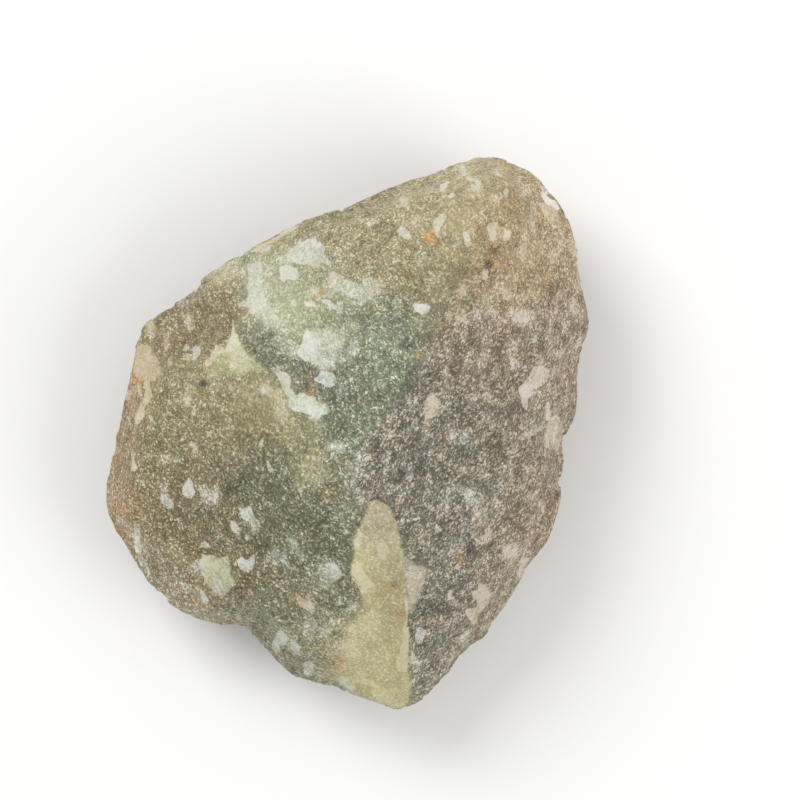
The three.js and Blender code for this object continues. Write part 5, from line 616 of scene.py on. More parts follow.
    (0.8, 0.3, "h", [(11.88, 27.76), (12.29, 27.86), (12.5, 27.45), (12.6, 26.93), (12.19, 26.82), (11.98, 27.24)]),
    (0.9, 0.2, "h", [(12.5, 26.61), (12.92, 26.72), (13.33, 26.51), (12.92, 26.2)]),
    (0.8, 0.2, "h", [(13.33, 26.3), (13.96, 26.41), (14.06, 26.09), (13.54, 25.99)]),
    (0.5, 0.4, "h", [(13.54, 25.36), (13.96, 25.26), (14.17, 24.64), (13.75, 24.74)]),
    (0.4, 0.6, "h", [(15.1, 25.16), (15.73, 25.05), (15.83, 24.32), (15.31, 24.32)]),
    (0.4, 0.6, "h", [(19.17, 24.01), (19.79, 23.8), (19.79, 22.86), (19.27, 23.07)]),
    (0.4, 0.6, "h", [(18.96, 22.66), (19.48, 22.55), (19.48, 21.61), (19.06, 21.72)]),
    (0.75, 0.35, "h", [(13.02, 25.89), (13.54, 26.09), (13.85, 25.99), (13.96, 25.57), (13.44, 25.36), (13.12, 25.47)]),
    (0.8, 0.18, "e", [(14.79, 21.82), (15.21, 22.14), (15.73, 22.03), (15.73, 21.41), (15.62, 20.57), (15.42, 20.05), (15.1, 20.16), (15, 20.78), (14.69, 21.3)]),
    (0.9, 0.18, "c", [(16.56, 21.2), (17.19, 21.3), (17.19, 20.47), (16.88, 19.95), (16.56, 20.26)]),
    (0.6, 0.5, "h", [(15.42, 27.45), (15.83, 27.34), (16.15, 26.82), (15.73, 26.82)]),
    (0.75, 0.35, "h", [(16.35, 25.16), (16.67, 25.57), (16.98, 25.26), (16.77, 24.74)]),
    (0.6, 0.3, "h", [(13.85, 23.18), (14.27, 22.97), (14.9, 22.34), (14.48, 22.45)]),
    (0.8, 0.4, "k", [(14.27, 17.03), (14.69, 17.14), (14.79, 16.51), (14.58, 15.99), (14.27, 16.09)]),
    (1, 0.05, "p", [(20.31, 25.16), (20.83, 25.16), (21.35, 24.64), (21.98, 24.01), (22.29, 23.39), (21.88, 23.28), (21.25, 23.8), (20.73, 24.22)]),
    (0.62, 0.4, "c", [(20.21, 24.11), (21.25, 24.01), (21.98, 23.49), (22.29, 22.66), (22.19, 21.61), (21.67, 21.2), (21.15, 22.03), (20.52, 23.07)]),
    (0.5, 0.6, "k", [(18.23, 19.32), (18.96, 19.43), (19.06, 18.59), (18.33, 18.49)]),
    (0.95, 0.2, "w", [(6.98, 13.49), (7.71, 13.59), (8.44, 13.59), (8.85, 13.28), (8.54, 12.66), (7.81, 12.45), (7.29, 12.86)]),
    (0.55, 0.5, "e", [(11.98, 15.57), (12.4, 15.47), (12.5, 14.43), (12.08, 14.11)]),
    (0.6, 0.5, "k", [(13.33, 12.97), (13.96, 12.86), (13.96, 12.03), (13.44, 12.03), (13.12, 12.45)]),
    (0.6, 0.5, "k", [(14.58, 13.07), (15.42, 12.97), (15.73, 12.45), (14.79, 12.03)]),
    (0.7, 0.6, "k", [(17.29, 12.97), (18.23, 12.76), (19.48, 12.55), (19.79, 12.03), (18.96, 11.61), (18.12, 11.2), (17.4, 11.72), (17.19, 12.45)]),
    (0.55, 0.7, "k", [(16.04, 15.57), (17.08, 15.36), (17.29, 14.11), (16.46, 14.11)]),
    (0.6, 0.6, "k", [(17.19, 7.76), (17.92, 7.66), (18.02, 6.93), (17.29, 6.93)]),
    (0.7, 0.5, "b", [(19.17, 10.26), (19.69, 10.26), (19.79, 9.64), (19.27, 9.64)]),
    (0.5, 0.5, "k", [(24.17, 10.36), (24.58, 10.16), (24.58, 9.11), (24.27, 8.7)]),
    (0.54, 0.42, "e", [(6.2, -19.53), (6.51, -19.84), (6.51, -21.51), (6.35, -23.07), (6.51, -24.43), (6.15, -24.9), (5.42, -24.84), (5.21, -24.01), (5.42, -23.18), (5.73, -22.55), (5.94, -21.51), (6.04, -20.47)]),
    (0.6, 0.3, "c", [(6.09, -16.09), (6.25, -16.09), (6.41, -17.34), (6.46, -18.59), (6.51, -19.64), (6.35, -19.64), (6.25, -18.39), (6.15, -17.14)]),
    (0.5, 0.3, "c", [(0.62, -13.8), (1.25, -13.39), (1.56, -13.8), (1.88, -14.43), (2.29, -14.95), (2.71, -15.36), (3.02, -15.89), (2.6, -15.99), (2.08, -15.99), (1.88, -16.51), (1.67, -16.72), (1.35, -16.09), (0.83, -15.47), (0.42, -14.64)]),
    (0.4, 0.6, "w", [(1.04, -10.47), (1.46, -10.16), (1.56, -11.09), (1.46, -11.72), (0.83, -11.72), (0.73, -11.2)]),
    (0.4, 0.35, "k", [(3.44, -11.61), (3.96, -11.3), (4.27, -11.82), (4.17, -12.66), (3.75, -13.18), (3.33, -12.66)]),
    (0.15, 0.7, "k", [(2.08, -7.45), (4.38, -7.45), (4.79, -8.49), (4.58, -9.43), (3.12, -9.22), (1.88, -9.43), (1.67, -8.8)]),
    (0.3, 0.6, "w", [(2.92, -26.3), (4.17, -26.72), (4.69, -27.76), (3.96, -27.97), (3.12, -27.34)]),
    (0.3, 0.4, "y", [(0.62, -25.57), (2.29, -25.68), (3.33, -26.3), (4.38, -26.72), (5.31, -26.51), (5.62, -26.93), (4.58, -27.03), (3.33, -26.72), (2.08, -25.99), (0.62, -25.89)]),
    (0.15, 0.8, "y", [(0, -21.72), (1.04, -21.51), (1.67, -22.55), (1.04, -23.59), (0, -23.8), (-0.62, -22.76)]),
    (0.25, 0.9, "y", [(1.67, -19.22), (2.92, -18.8), (3.54, -19.84), (2.71, -21.09), (1.67, -20.68)]),
    (0.6, 0.6, "w", [(0.42, -17.55), (1.04, -17.55), (1.15, -18.28), (0.52, -18.39)]),
    (0.22, 0.8, "w", [(-1.04, -22.14), (-0.21, -21.51), (0.42, -22.14), (0, -23.18), (-0.83, -23.18)]),
    (0.35, 0.8, "y", [(0.21, 11.82), (1.04, 12.03), (1.25, 10.99), (0.42, 10.68)]),
    (0.6, 0.6, "b", [(-0.83, -25.68), (-0.31, -25.57), (0.31, -25.99), (0.62, -26.72), (0.31, -27.03), (-0.31, -26.51)]),
]
# rust grains: x, y, size, strength
RUST = [
    (8.65, 20.47, 0.62, 0.95), (8.33, 20.99, 0.31, 0.6), (2.71, 23.8, 0.42, 0.45), (-1.98, 19.84, 0.42, 0.3), (15.52, 17.45, 0.33, 0.6),
    (14.69, 18.07, 0.26, 0.4), (15.42, 19.11, 0.31, 0.35), (17.19, 24.01, 0.52, 0.35), (5.94, 15.99, 0.31, 0.55), (-2.71, 14.64, 0.42, 0.75),
    (2.4, 12.86, 0.31, 0.45), (7.5, 8.28, 0.52, 0.55), (22.08, 11.72, 0.42, 0.5), (0.73, 11.41, 0.42, 0.3), (-3.85, 3.91, 0.52, 0.5),
    (-3.75, 5.99, 0.42, 0.4), (10.31, -0.05, 0.36, 0.55), (11.88, -13.28, 0.52, 0.6), (10.62, -5.78, 0.52, 0.25), (11.56, -18.39, 0.42, 0.4),
    (14.27, -13.18, 0.42, 0.3), (-1.56, -5.99, 0.62, 0.35), (-2.92, -5.57, 0.31, 0.25), (-22.92, -8.07, 0.73, 0.45), (-14.27, -15.47, 0.42, 0.45),
    (-4.48, -17.34, 0.62, 0.4), (-5.1, -16.93, 0.36, 0.4), (-5.94, -20.99, 0.36, 0.5), (4.17, -15.99, 0.62, 0.24), (5.62, -18.91, 0.52, 0.2),
    (-21.88, 5.57, 0.52, 0.45), (-22.4, 2.14, 0.42, 0.3), (-2.4, 3.28, 0.42, 0.3), (-3.33, 4.95, 0.42, 0.3), (4.9, -9.22, 0.52, 0.3),
    (-0.62, -24.01, 0.83, 0.3), (16.04, 10.78, 0.31, 0.2), (12.92, -4.84, 0.31, 0.25), (19.69, 13.91, 0.42, 0.2), (-23.75, -2.24, 0.73, 0.2),
    (-23.54, -4.64, 0.73, 0.2), (14.27, -2.03, 0.42, 0.25), (1.04, -26.72, 0.42, 0.35), (-11.04, 16.2, 0.52, 0.2),
]
# dark grains: x, y, size, strength, tone
DARK = [
    (14.9, 17.76, 0.33, 0.95, "garnet"), (14.9, 17.24, 0.27, 0.7, "garnet"), (15.42, 19.01, 0.25, 0.7, "garnet"), (-14.9, 5.16, 0.38, 0.75, "inky"),
    (6.46, 9.22, 0.52, 0.35, "inky"), (-20.21, 8.39, 0.27, 0.6, "inky"), (-16.46, 8.59, 0.25, 0.5, "inky"), (1.56, 11.93, 0.52, 0.3, "inky"),
    (4.17, 8.18, 0.52, 0.25, "inky"), (15.52, 16.72, 0.27, 0.4, "garnet"), (5, -15.78, 0.38, 0.25, "garnet"), (5.83, -18.59, 0.31, 0.25, "garnet"),
]
# smoother stretches: x, y, reach, amount
CALMS = [
    (0.62, 13.28, 2.5, 0.3), (18.65, -9.01, 3.54, 0.15), (-8.12, 4.32, 2.29, 0.55), (-6.67, 1.61, 1.88, 0.45), (-9.79, 2.66, 1.88, 0.35),
    (-6.04, 13.91, 2.5, 0.4), (-4.79, 11.61, 2.08, 0.3), (-3.85, -3.59, 1.25, 0.45), (12.29, 24.32, 1.46, 0.35), (11.46, 22.03, 1.25, 0.35),
    (-6.46, 19.53, 1.67, 0.4), (-12.92, 16.51, 1.67, 0.4), (-20.83, 7.24, 1.67, 0.8), (-15.62, 6.2, 1.67, 0.3), (16.04, 23.07, 2.08, 0.15),
    (21.15, 23.07, 1.46, 0.4), (-23.54, -1.72, 2.08, 0.2), (5.62, 20.16, 5.21, 0.25), (18.12, 20.16, 5.21, 0.58), (16.04, 15.47, 3.54, 0.25),
    (21.04, 12.86, 3.12, 0.22), (16.56, 24.01, 3.12, 0.15), (13.96, 9.22, 4.17, 0.12), (-6.88, 14.95, 4.79, 0.42), (-12.6, 1.41, 6.25, 0.25),
    (-16.25, 10.78, 4.17, 0.25), (-3.75, -0.68, 3.12, 0.2), (9.79, 24.32, 4.17, 0.15), (21.77, 0.16, 1.46, 0.4), (9.48, -16.93, 1.25, 0.4),
    (0.42, -22.55, 2.5, 0.35),
]
# lighter and darker stretches, some of them painted shade: x, y, reach, amount
SHADES = [
    # the first three darken the trough at the tongue's foot: painted shade of the recess on its darker grain
    (-6.67, 7.45, 2.08, -0.14), (-8.33, 9.53, 1.88, -0.14), (-4.79, 6.2, 1.88, -0.1), (-5.83, -7.45, 5.73, -0.16), (-8.75, 0.57, 2.5, -0.14),
    # the second to fourth places on this row darken the right face beside the ridge: painted shade of the face turned
    # from the light, on its greyer grain
    (-0.1, 5.05, 2.5, -0.06), (8.75, -11.61, 3.75, -0.1), (6.15, -6.09, 3.12, -0.14), (10.83, -1.2, 5.21, -0.16), (9.38, -9.53, 2.08, 0.18),
    (20.31, -11.09, 1.67, -0.16), (23.33, 18.49, 2.5, 0.34), (15, -3.8, 2.5, -0.12), (-21.46, -9.01, 1.67, 0.1), (6.67, 16.82, 3.12, -0.08),
    (17.6, 19.11, 4.17, -0.08), (9.79, -17.34, 4.17, -0.07), (15, 7.66, 6.25, -0.09), (19.69, -1.72, 4.69, -0.07), (-16.25, 10.57, 3.54, -0.16),
    (-12.08, 1.93, 4.17, -0.07), (-11.04, -3.8, 5.21, -0.08), (-10, -14.74, 5.21, -0.06), (-11.46, 8.28, 1.67, -0.1), (-6.35, 13.91, 2.92, -0.06),
    (-18.12, -16.3, 1.88, 0.28), (-14.79, -18.59, 1.88, 0.3), (-23.54, -8.49, 1.88, 0.14), (-20.83, -11.61, 2.08, 0.12), (6.88, -14.84, 1.46, 0.12),
    (-1.15, -5.05, 2.5, 0.4), (-0.1, -7.97, 2.08, 0.14), (8.75, 22.76, 5.21, 0.05), (17.08, 26.82, 2.92, 0.16), (0.42, 0.36, 3.12, 0.06),
    (-1.67, -24.11, 2.5, 0.06),
]

right = inside(uv, RIDGE + [(60, -60), (60, 60), (RIDGE[0][0] + 20, 60)])
ragged = uv + np.column_stack([noise(p / w, s) * a for w, s, a in ((1.1, 41, 0.20), (1.1, 42, 0.20))])
ragged += np.column_stack([noise(p / 0.55, 43), noise(p / 0.55, 44)]) * 0.13


def shard(uv, i, cx, cy, rx, ry, turn):
    """Signed distance to an angular flake, and how far across it a point lies from the edge where its painted sheen is
    lightest.
    """
    r = np.random.default_rng(400 + i)
    k = int(r.integers(6, 9))
    a = (np.arange(k) + r.uniform(-0.36, 0.36, k)) * 2 * math.pi / k
    q = 1.0 + r.uniform(-0.30, 0.22, k)
    x, y = np.cos(a) * q * rx, np.sin(a) * q * ry
    c, s = math.cos(math.radians(turn)), math.sin(math.radians(turn))
    poly = np.column_stack([cx + x * c - y * s, cy + x * s + y * c])
    tilt = r.uniform(-0.9, 0.3)
    down = ((uv[:, 0] - cx) * math.cos(tilt) + (uv[:, 1] - cy) * math.sin(tilt)) / max(rx, ry)
    return inside(uv, poly), down


pale = np.zeros(len(p))
crisp = np.zeros(len(p))
veil = np.zeros(len(p))                               # soft pale patches only
veil_crisp = np.zeros(len(p))
plate = np.zeros(len(p))                              # 0.5 on a crisp flake's edge, more inside
plate_on = np.zeros(len(p))                           # how pale that flake is
PLATE_BAND = 0.9


def lay(on, d, strength, soft, down=0.0):
    """Lays a flake of cover d on the points; crisp ones keep their edge's distance."""
    if soft > 0.42:
        return np.zeros(len(on), bool)
    v = np.clip(0.5 + d / PLATE_BAND, 0, 1)
    wins = v > plate[on]
    plate[on] = np.maximum(plate[on], v)
    # painted sheen: the flake's paleness fades across it, lightest at one edge
    sheen_fade = 1 - 0.38 * smooth(0.0, 1.1, down)
    plate_on[on] = np.where(wins, strength * (1 - 0.25 * soft) * sheen_fade, plate_on[on])
    return wins
for i, (x, y, rx, ry, turn, strength, soft) in enumerate(FLAKES):
    reach_ = max(rx, ry) * 1.4 + 0.9
    on = np.where((np.abs(ragged[:, 0] - x) < reach_) & (np.abs(ragged[:, 1] - y) < reach_) & (up > 0.4))[0]
    if len(on) == 0:
        continue
    d, down = shard(ragged[on] * (1 - 0.0) if soft > 0.3 else (ragged[on] + uv[on]) / 2, i, x, y, rx, ry, turn)
    edge = 0.10 + 0.55 * soft
    # painted sheen: the cover fades across the flake, lightest at one edge
    cover = smooth(-edge, edge, d) * strength * (1 - 0.35 * smooth(-0.2, 1.1, down))
    pale[on] = np.maximum(pale[on], cover)
    crisp[on] = np.maximum(crisp[on], cover * (1 - soft))
    if not lay(on, d, strength, soft, down).any():
        veil[on] = np.maximum(veil[on], cover)
        veil_crisp[on] = np.maximum(veil_crisp[on], cover * (1 - soft))


def upper(d):
    return np.where(up > 0.3, d, -9.0)


frost = upper(inside(ragged, FROST_FIELD))
face_p = upper(inside((uv + ragged) / 2, SPLIT_FACE) + 0.12 * noise(p / 0.45, 80))
face_q = upper(inside(ragged, SPLIT_SIDE))
tongue = upper(inside((uv + ragged) / 2, TONGUE))
brown_break = upper(inside(ragged, BROWN_BREAK))
fuzzy = smooth(16.5, 20.0, -uv[:, 1]) * smooth(-4.5, -1.5, -uv[:, 0])
face_soft = 0.13 + 1.0 * fuzzy
face_d = face_p + fuzzy * (0.55 * noise(p / 1.0, 78) + 0.45 * noise(p / 0.5, 79))
on_split = smooth(-1.0, 1.0, face_d / face_soft)
TONES = {"w": (211, 212, 204), "b": (207, 211, 207), "c": (210, 201, 182), "k": (209, 198, 188), "g": (197, 200, 172),
         "y": (204, 197, 166), "e": (201, 191, 174), "t": (186, 200, 186), "p": (236, 227, 222), "h": (207, 206, 192),
         "v": (208, 213, 198), "s": (204, 187, 162), "m": (214, 208, 198)}
chip = srgb(217, 218, 203) * (1 - smooth(-1.0, 1.0, right))[:, None] + srgb(211, 201, 186) * smooth(-1.0, 1.0, right)[:, None]
mild = uv * 0.5 + ragged * 0.5
for i, (strength, soft, tone, outline) in enumerate(PATCHES):
    q = ragged if soft > 0.45 else mild
    box = np.array(outline)
    low_, high_ = box.min(0) - 1.0, box.max(0) + 1.0
    on = np.where((q > low_).all(1) & (q < high_).all(1) & (up > 0.15))[0]
    if len(on) == 0:
        continue
    turn_ = np.roll(box, -1, 0)
    area = abs((box[:, 0] * turn_[:, 1] - box[:, 1] * turn_[:, 0]).sum()) / 2
    width = 2 * area / np.linalg.norm(turn_ - box, axis=1).sum()
    edge = min(0.09 + 0.55 * soft, 0.55 * width + 0.04)
    d = inside(q[on], outline) + 0.05
    cover = smooth(-edge, edge, d + 0.25 * edge) * strength
    # the way the painted sheen runs across this patch
    sheen_turn = np.random.default_rng(700 + i).uniform(-1.2, 0.6)
    middle, span = box.mean(0), np.linalg.norm(box.max(0) - box.min(0)) / 2
    down = ((q[on] - middle) @ (math.cos(sheen_turn), math.sin(sheen_turn))) / span
    wins = lay(on, d, strength, soft, down)
    k = np.clip(cover * 1.6, 0, 1)[:, None]
    if wins.any():
        k = (wins & (d > -PLATE_BAND / 2)).astype(float)[:, None]
    else:
        veil[on] = np.maximum(veil[on], cover)
        veil_crisp[on] = np.maximum(veil_crisp[on], cover * (1 - soft))
    chip[on] = chip[on] * (1 - k) + srgb(*TONES[tone]) * k
    pale[on] = np.maximum(pale[on], cover)
    crisp[on] = np.maximum(crisp[on], cover * (1 - soft))

# flakes on the sides and underneath, where the photograph shows nothing
rng = np.random.default_rng(20261)
low = np.where((n0[:, 2] < 0.1))[0]
tree = kdtree.KDTree(len(low))
for k, v in enumerate(low):
    tree.insert(p[v], k)
tree.balance()
for c in rng.choice(low, 150, replace=False):
    r = 0.45 + rng.uniform(0.0, 1.0) ** 2.5 * 1.9
    strength, soft = rng.uniform(0.45, 1.0), rng.uniform(0.0, 1.0)
    out_ = n0[c]
    ax = np.cross(out_, rng.normal(size=3))
    ax /= np.linalg.norm(ax)
    ay = np.cross(out_, ax)
    hit = [(low[k], dist) for _, k, dist in tree.find_range(Vector(p[c]), r * 1.8)]
    on = np.array([h[0] for h in hit])
    d3 = p[on] - p[c]
    flat = np.column_stack([d3 @ ax, d3 @ ay]) + (ragged[on] - uv[on]) * 1.2
    d, down = shard(flat, int(c) % 997, 0.0, 0.0, r, r * rng.uniform(0.5, 0.9), 0.0)
    edge = 0.10 + 0.55 * soft
    # painted sheen: the cover fades across the flake, lightest at one edge
    cover = smooth(-edge, edge, d) * strength * (1 - 0.35 * smooth(-0.2, 1.1, down))
    pale[on] = np.maximum(pale[on], cover)
    crisp[on] = np.maximum(crisp[on], cover * (1 - soft))
    if not lay(on, d, strength, soft, down).any():
        veil[on] = np.maximum(veil[on], cover)
        veil_crisp[on] = np.maximum(veil_crisp[on], cover * (1 - soft))

# ---------------------------------------------------------------- fine relief
calm = np.maximum.reduce([on_split, smooth(-0.2, 0.3, face_q) * 0.75,
                          smooth(-0.2, 0.4, tongue) * 0.85, crisp * 0.5,
                          np.clip(sum(near((uv + ragged) / 2, x, y, r) * a for x, y, r, a in CALMS), 0, 0.8) * up])
fine = sum(d * noise(p / w, 31 + i) for i, (w, d) in enumerate(FINE))


def chips(spacing, tilt, seed):
    """Relief of small flat breaks, each leaning its own way."""
    r = np.random.default_rng(seed)
    lo, hi = p.min(0) - 2, p.max(0) + 2
    n = int(np.prod((hi - lo) / spacing) * 1.0)
    seeds = r.uniform(lo, hi, (n, 3))
    seeds = seeds[np.abs(np.linalg.norm((seeds - HEART) / (25, 28, 13), axis=1) - 1) < 0.35]
    t = kdtree.KDTree(len(seeds))
    for k, s_ in enumerate(seeds):
        t.insert(s_, k)
    t.balance()
    lean_ = r.normal(0, tilt, (len(seeds), 3))
    q = p + np.column_stack([noise(p / (spacing * 0.6), seed + k) for k in range(3)]) * spacing * 0.22
    near_ = np.array([t.find(x)[1] for x in q])
    return ((p - seeds[near_]) * lean_[near_]).sum(1)


broken = chips(3.4, 0.085, 7) + chips(1.5, 0.10, 8)
broken = np.clip(broken, -0.35, 0.35)
# broader breaks low on the sides
low_side = (1 - smooth(-0.50, -0.15, n0[:, 2])) * smooth(-0.995, -0.93, n0[:, 2])
broken += np.clip(chips(6.5, 0.15, 9) + chips(3.6, 0.12, 10), -0.8, 0.5) * low_side
sunk = -0.13 * crisp - 0.03 * pale
sunk += -0.06 * smooth(-0.1, 0.15, tongue)
relief = (fine + broken) * (1 - calm) + sunk
relief += 0.05 * noise(p / 0.42, 61) * (1 - calm)
p = p + n0 * (relief * (0.35 + 0.65 * edge_calm))[:, None]

# the resting patch is flat
below = p[:, 2] < 0
p[below] = HEART + (p[below] - HEART) * (HEART[2] / (HEART[2] - p[below, 2]))[:, None]
p[below, 2] = 0.0

# stand the stone where the frame stands
shift = np.array([(cad_low[0] + cad_high[0]) * 500 - (p[:, 0].min() + p[:, 0].max()) / 2,
                  (cad_low[1] + cad_high[1]) * 500 - (p[:, 1].min() + p[:, 1].max()) / 2, 0.0])

# ---------------------------------------------------------------- ground colour
PALETTE = {
    "moss": srgb(132, 121, 87),
    "deep_moss": srgb(123, 122, 94),
    "olive": srgb(151, 142, 106),
    "olive_grey": srgb(145, 142, 114),
    "straw": srgb(162, 155, 115),
    "straw_grey": srgb(172, 159, 124),
    "clay": srgb(171, 141, 108),
    "umber": srgb(138, 119, 87),
    "frost_green": srgb(162, 163, 132),
    # the trough at the tongue's foot: darker grain with painted shade of the recess
    "trough_grain_and_shade": srgb(122, 122, 102),
    "teal": srgb(122, 130, 106),
    "ochre": srgb(155, 133, 98),
    "taupe": srgb(139, 124, 101),
    "taupe_grey": srgb(131, 123, 104),
    "grey": srgb(119, 114, 98),
    "deep_grey": srgb(116, 112, 97),
    "beige": srgb(166, 155, 130),
    "side_beige": srgb(189, 180, 162),
    "tongue": srgb(170, 169, 130),
    "split_pale": srgb(184, 178, 137),
    "split_green": srgb(172, 168, 125),
    "split_deep": srgb(168, 160, 119),
    "split_sand": srgb(181, 173, 135),
    "split_top": srgb(168, 161, 134),
    "split_brown": srgb(168, 146, 108),
    "split_low": srgb(160, 153, 121),
    "split_lip": srgb(184, 179, 148),
    "rim_brown": srgb(140, 114, 86),
    "rim_olive": srgb(157, 145, 115),
    "garnet": srgb(104, 50, 34),
    "inky": srgb(70, 74, 66),
}


def blend(uv, spots):
    total = np.zeros((len(uv), 3))
    weight = np.zeros(len(uv))
    for x, y, r, name, strength in spots:
        w = near(uv, x, y, r) * strength + 1e-9
        total += w[:, None] * PALETTE[name]
        weight += w
    return total / weight[:, None]


# middle of each tint, its reach in mm, the tint, its strength
LEFT_TINTS = [
    (-18.85, -15.47, 2.08, "rim_olive", 2.4), (-15.21, -18.39, 2.08, "rim_olive", 2.4), (-20.42, -12.66, 1.67, "rim_olive", 1.6),
    (-8.75, -22.76, 1.46, "rim_olive", 1.0), (-13.33, 16.41, 2.08, "olive", 2.0), (-12.92, 13.28, 2.08, "olive", 1.4),
    (-7.29, 19.53, 1.25, "straw", 1.4), (-20.42, -3.8, 5.73, "moss", 1), (-24.79, -1.72, 2.5, "clay", 1.8),
    (-24.38, -7.45, 2.71, "clay", 1.6), (-22.5, 3.49, 2.08, "clay", 1.6), (-18.85, 0.89, 3.75, "olive", 0.9),
    (-12.08, 1.41, 4.79, "olive", 0.8), (-5.83, -6.93, 6.25, "deep_moss", 1.7), (-12.6, -12.14, 5.21, "moss", 1.2),
    (-4.79, -21.51, 5.73, "olive_grey", 1.0), (-19.38, -14.74, 4.17, "moss", 1.1), (-1.15, -12.66, 3.96, "deep_moss", 1.2),
    (-8.75, 3.28, 3.12, "straw", 1.8), (-6.04, 0.57, 2.29, "straw", 1.3), (-3.75, -3.59, 1.46, "straw", 1.8),
    (-16.25, 5.05, 3.54, "olive", 1.3), (-11.56, 6.41, 2.08, "straw", 1.0), (-4.79, 13.91, 5, "frost_green", 1.6),
    # the four spots along the trough at the tongue's foot, on this row and the next: its darker grain with painted
    # shade of the recess
    (-9.17, 9.22, 2.08, "trough_grain_and_shade", 1.5), (-6.67, 7.45, 1.88, "trough_grain_and_shade", 1.4), (-4.27, 5.36, 1.88, "trough_grain_and_shade", 1.0),
    (-0.62, 4.01, 2.92, "trough_grain_and_shade", 1.0), (5.62, 19.64, 5.62, "olive", 1.3), (-0.1, 20.99, 4.17, "olive", 1.2),
    (4.06, 10.99, 2.71, "teal", 1.8), (4.79, 7.03, 3.12, "teal", 1.7), (0.42, 1.41, 3.54, "teal", 1.2),
    (9.79, 24.32, 4.79, "straw_grey", 1.3), (16.04, 26.41, 4.17, "straw_grey", 1.2), (-4.79, -12.14, 1.46, "teal", 0.9),
    (8.75, 15.99, 3.54, "olive", 1.1), (-0.62, -23.07, 3.12, "straw", 0.8), (-1.67, -18.39, 2.29, "olive_grey", 0.8),
    (4.58, -26.72, 2.5, "straw", 0.9),
]
RIGHT_TINTS = [
    (16.56, 21.72, 4.58, "ochre", 1.3), (19.17, 23.8, 3.54, "ochre", 1.4), (21.46, 17.86, 3.54, "ochre", 1.2),
    (16.04, 16.51, 3.54, "ochre", 1.0), (11.88, 24.84, 4.17, "straw_grey", 1.1), (11.04, 17.86, 3.54, "olive", 1.1),
    (8.23, 12.34, 2.71, "olive_grey", 0.8), (15, 10.26, 5.21, "taupe", 1.4), (22.92, 12.86, 3.12, "taupe", 1.1),
    (8.75, 1.41, 5.83, "grey", 1.3), (9.79, -7.45, 5.83, "deep_grey", 1.6), (23.33, 19.11, 2.29, "beige", 1.2),
    (24.06, 5.57, 1.88, "rim_brown", 0.8), (23.02, -1.93, 1.67, "rim_brown", 0.7), (16.56, -0.68, 4.79, "taupe_grey", 1.1),
    (21.25, -3.8, 3.12, "taupe", 1.2), (20.83, -9.11, 1.88, "rim_brown", 2.4), (10.83, -15.78, 4.58, "deep_grey", 1.3),
    (8.75, -22.55, 3.75, "grey", 1.2), (17.08, -12.14, 3.33, "taupe", 1.2), (20.73, -9.53, 2.92, "taupe", 1.4),
    (15.52, -17.86, 2.71, "taupe", 1.3), (12.4, -22.03, 2.5, "taupe", 1), (23.12, 6.61, 2.71, "taupe", 1.1),
    (7.19, 6.41, 3.12, "grey", 1),
]
SPLIT_TINTS = [
    (4.38, -16.09, 0.83, "split_brown", 1.4), (5.42, -18.59, 0.73, "split_brown", 1.0), (-0.83, -24.11, 1.04, "split_brown", 0.9),
    (3.12, -7.76, 1.67, "beige", 1.6), (1.67, -10.05, 1.46, "split_top", 0.8), (1.88, -11.72, 0.94, "split_lip", 1.2),
    (3.96, -10.26, 1.67, "split_top", 1.2), (2.71, -13.18, 1.88, "split_pale", 1.2), (4.58, -14.43, 1.46, "split_low", 1.4),
    (3.12, -14.64, 0.94, "split_low", 0.8), (4.06, -17.34, 1.88, "split_deep", 1.2), (1.67, -17.86, 1.46, "split_pale", 1),
    (0.42, -21.51, 2.08, "split_sand", 1.3), (3.33, -21.51, 1.88, "split_deep", 0.9), (5.42, -21.51, 1.25, "split_green", 1),
    (1.98, -24.84, 2.08, "split_pale", 1), (5.1, -26.2, 1.88, "split_green", 1.2), (5.62, -27.76, 1.25, "split_pale", 1),
    (-0.1, -26.2, 1.46, "split_green", 1),
]
wobble = np.column_stack([noise(p / 2.6, 71), noise(p / 2.6, 72)]) * 0.9
wobble += np.column_stack([noise(p / 1.1, 73), noise(p / 1.1, 74)]) * 0.45
uvw = uv + wobble
left_ground = blend(uvw, LEFT_TINTS)
right_ground = blend(uvw, RIGHT_TINTS)
split_ground = blend(uv + wobble * 0.4, SPLIT_TINTS)
cut = smooth(-0.55, 0.55, right + noise(p / 1.0, 75) * 0.45 + noise(p / 0.5, 76) * 0.25)[:, None]
soft_top = smooth(6.0, 20.0, uv[:, 1])[:, None]       # the ridge line fades towards the shoulder
cut_soft = smooth(-5, 4, right + noise(p / 2.0, 77) * 1.5)[:, None]
cut = cut * (1 - soft_top) + cut_soft * soft_top
ground = left_ground * (1 - cut) + right_ground * cut
on_split = on_split[:, None]
ground = ground * (1 - on_split) + split_ground * on_split
on_tongue = smooth(-0.10, 0.30, tongue)[:, None] * 0.85
ground = ground * (1 - on_tongue) + PALETTE["tongue"] * on_tongue
on_side = smooth(-0.15, 0.25, face_q)[:, None] * 0.8
ground = ground * (1 - on_side) + PALETTE["side_beige"] * on_side
on_break = smooth(-0.2, 0.4, brown_break)[:, None] * 0.65
ground = ground * (1 - on_break) + PALETTE["umber"] * on_break

# share of light crystals, above or below the usual; SHADES also brings in painted shade on the trough and the right
# face
share = sum(near(uvw if r > 1.5 else ragged, x, y, r) * a for x, y, r, a in SHADES)
share += 0.04 * smooth(-0.5, 0.6, frost)
share += 0.06 * noise(p / 4.0, 101) + (0.09 + 0.05 * cut[:, 0]) * noise(p / 1.7, 102) + 0.07 * noise(p / 0.8, 103)
share = share * (1 - 0.85 * on_split[:, 0])
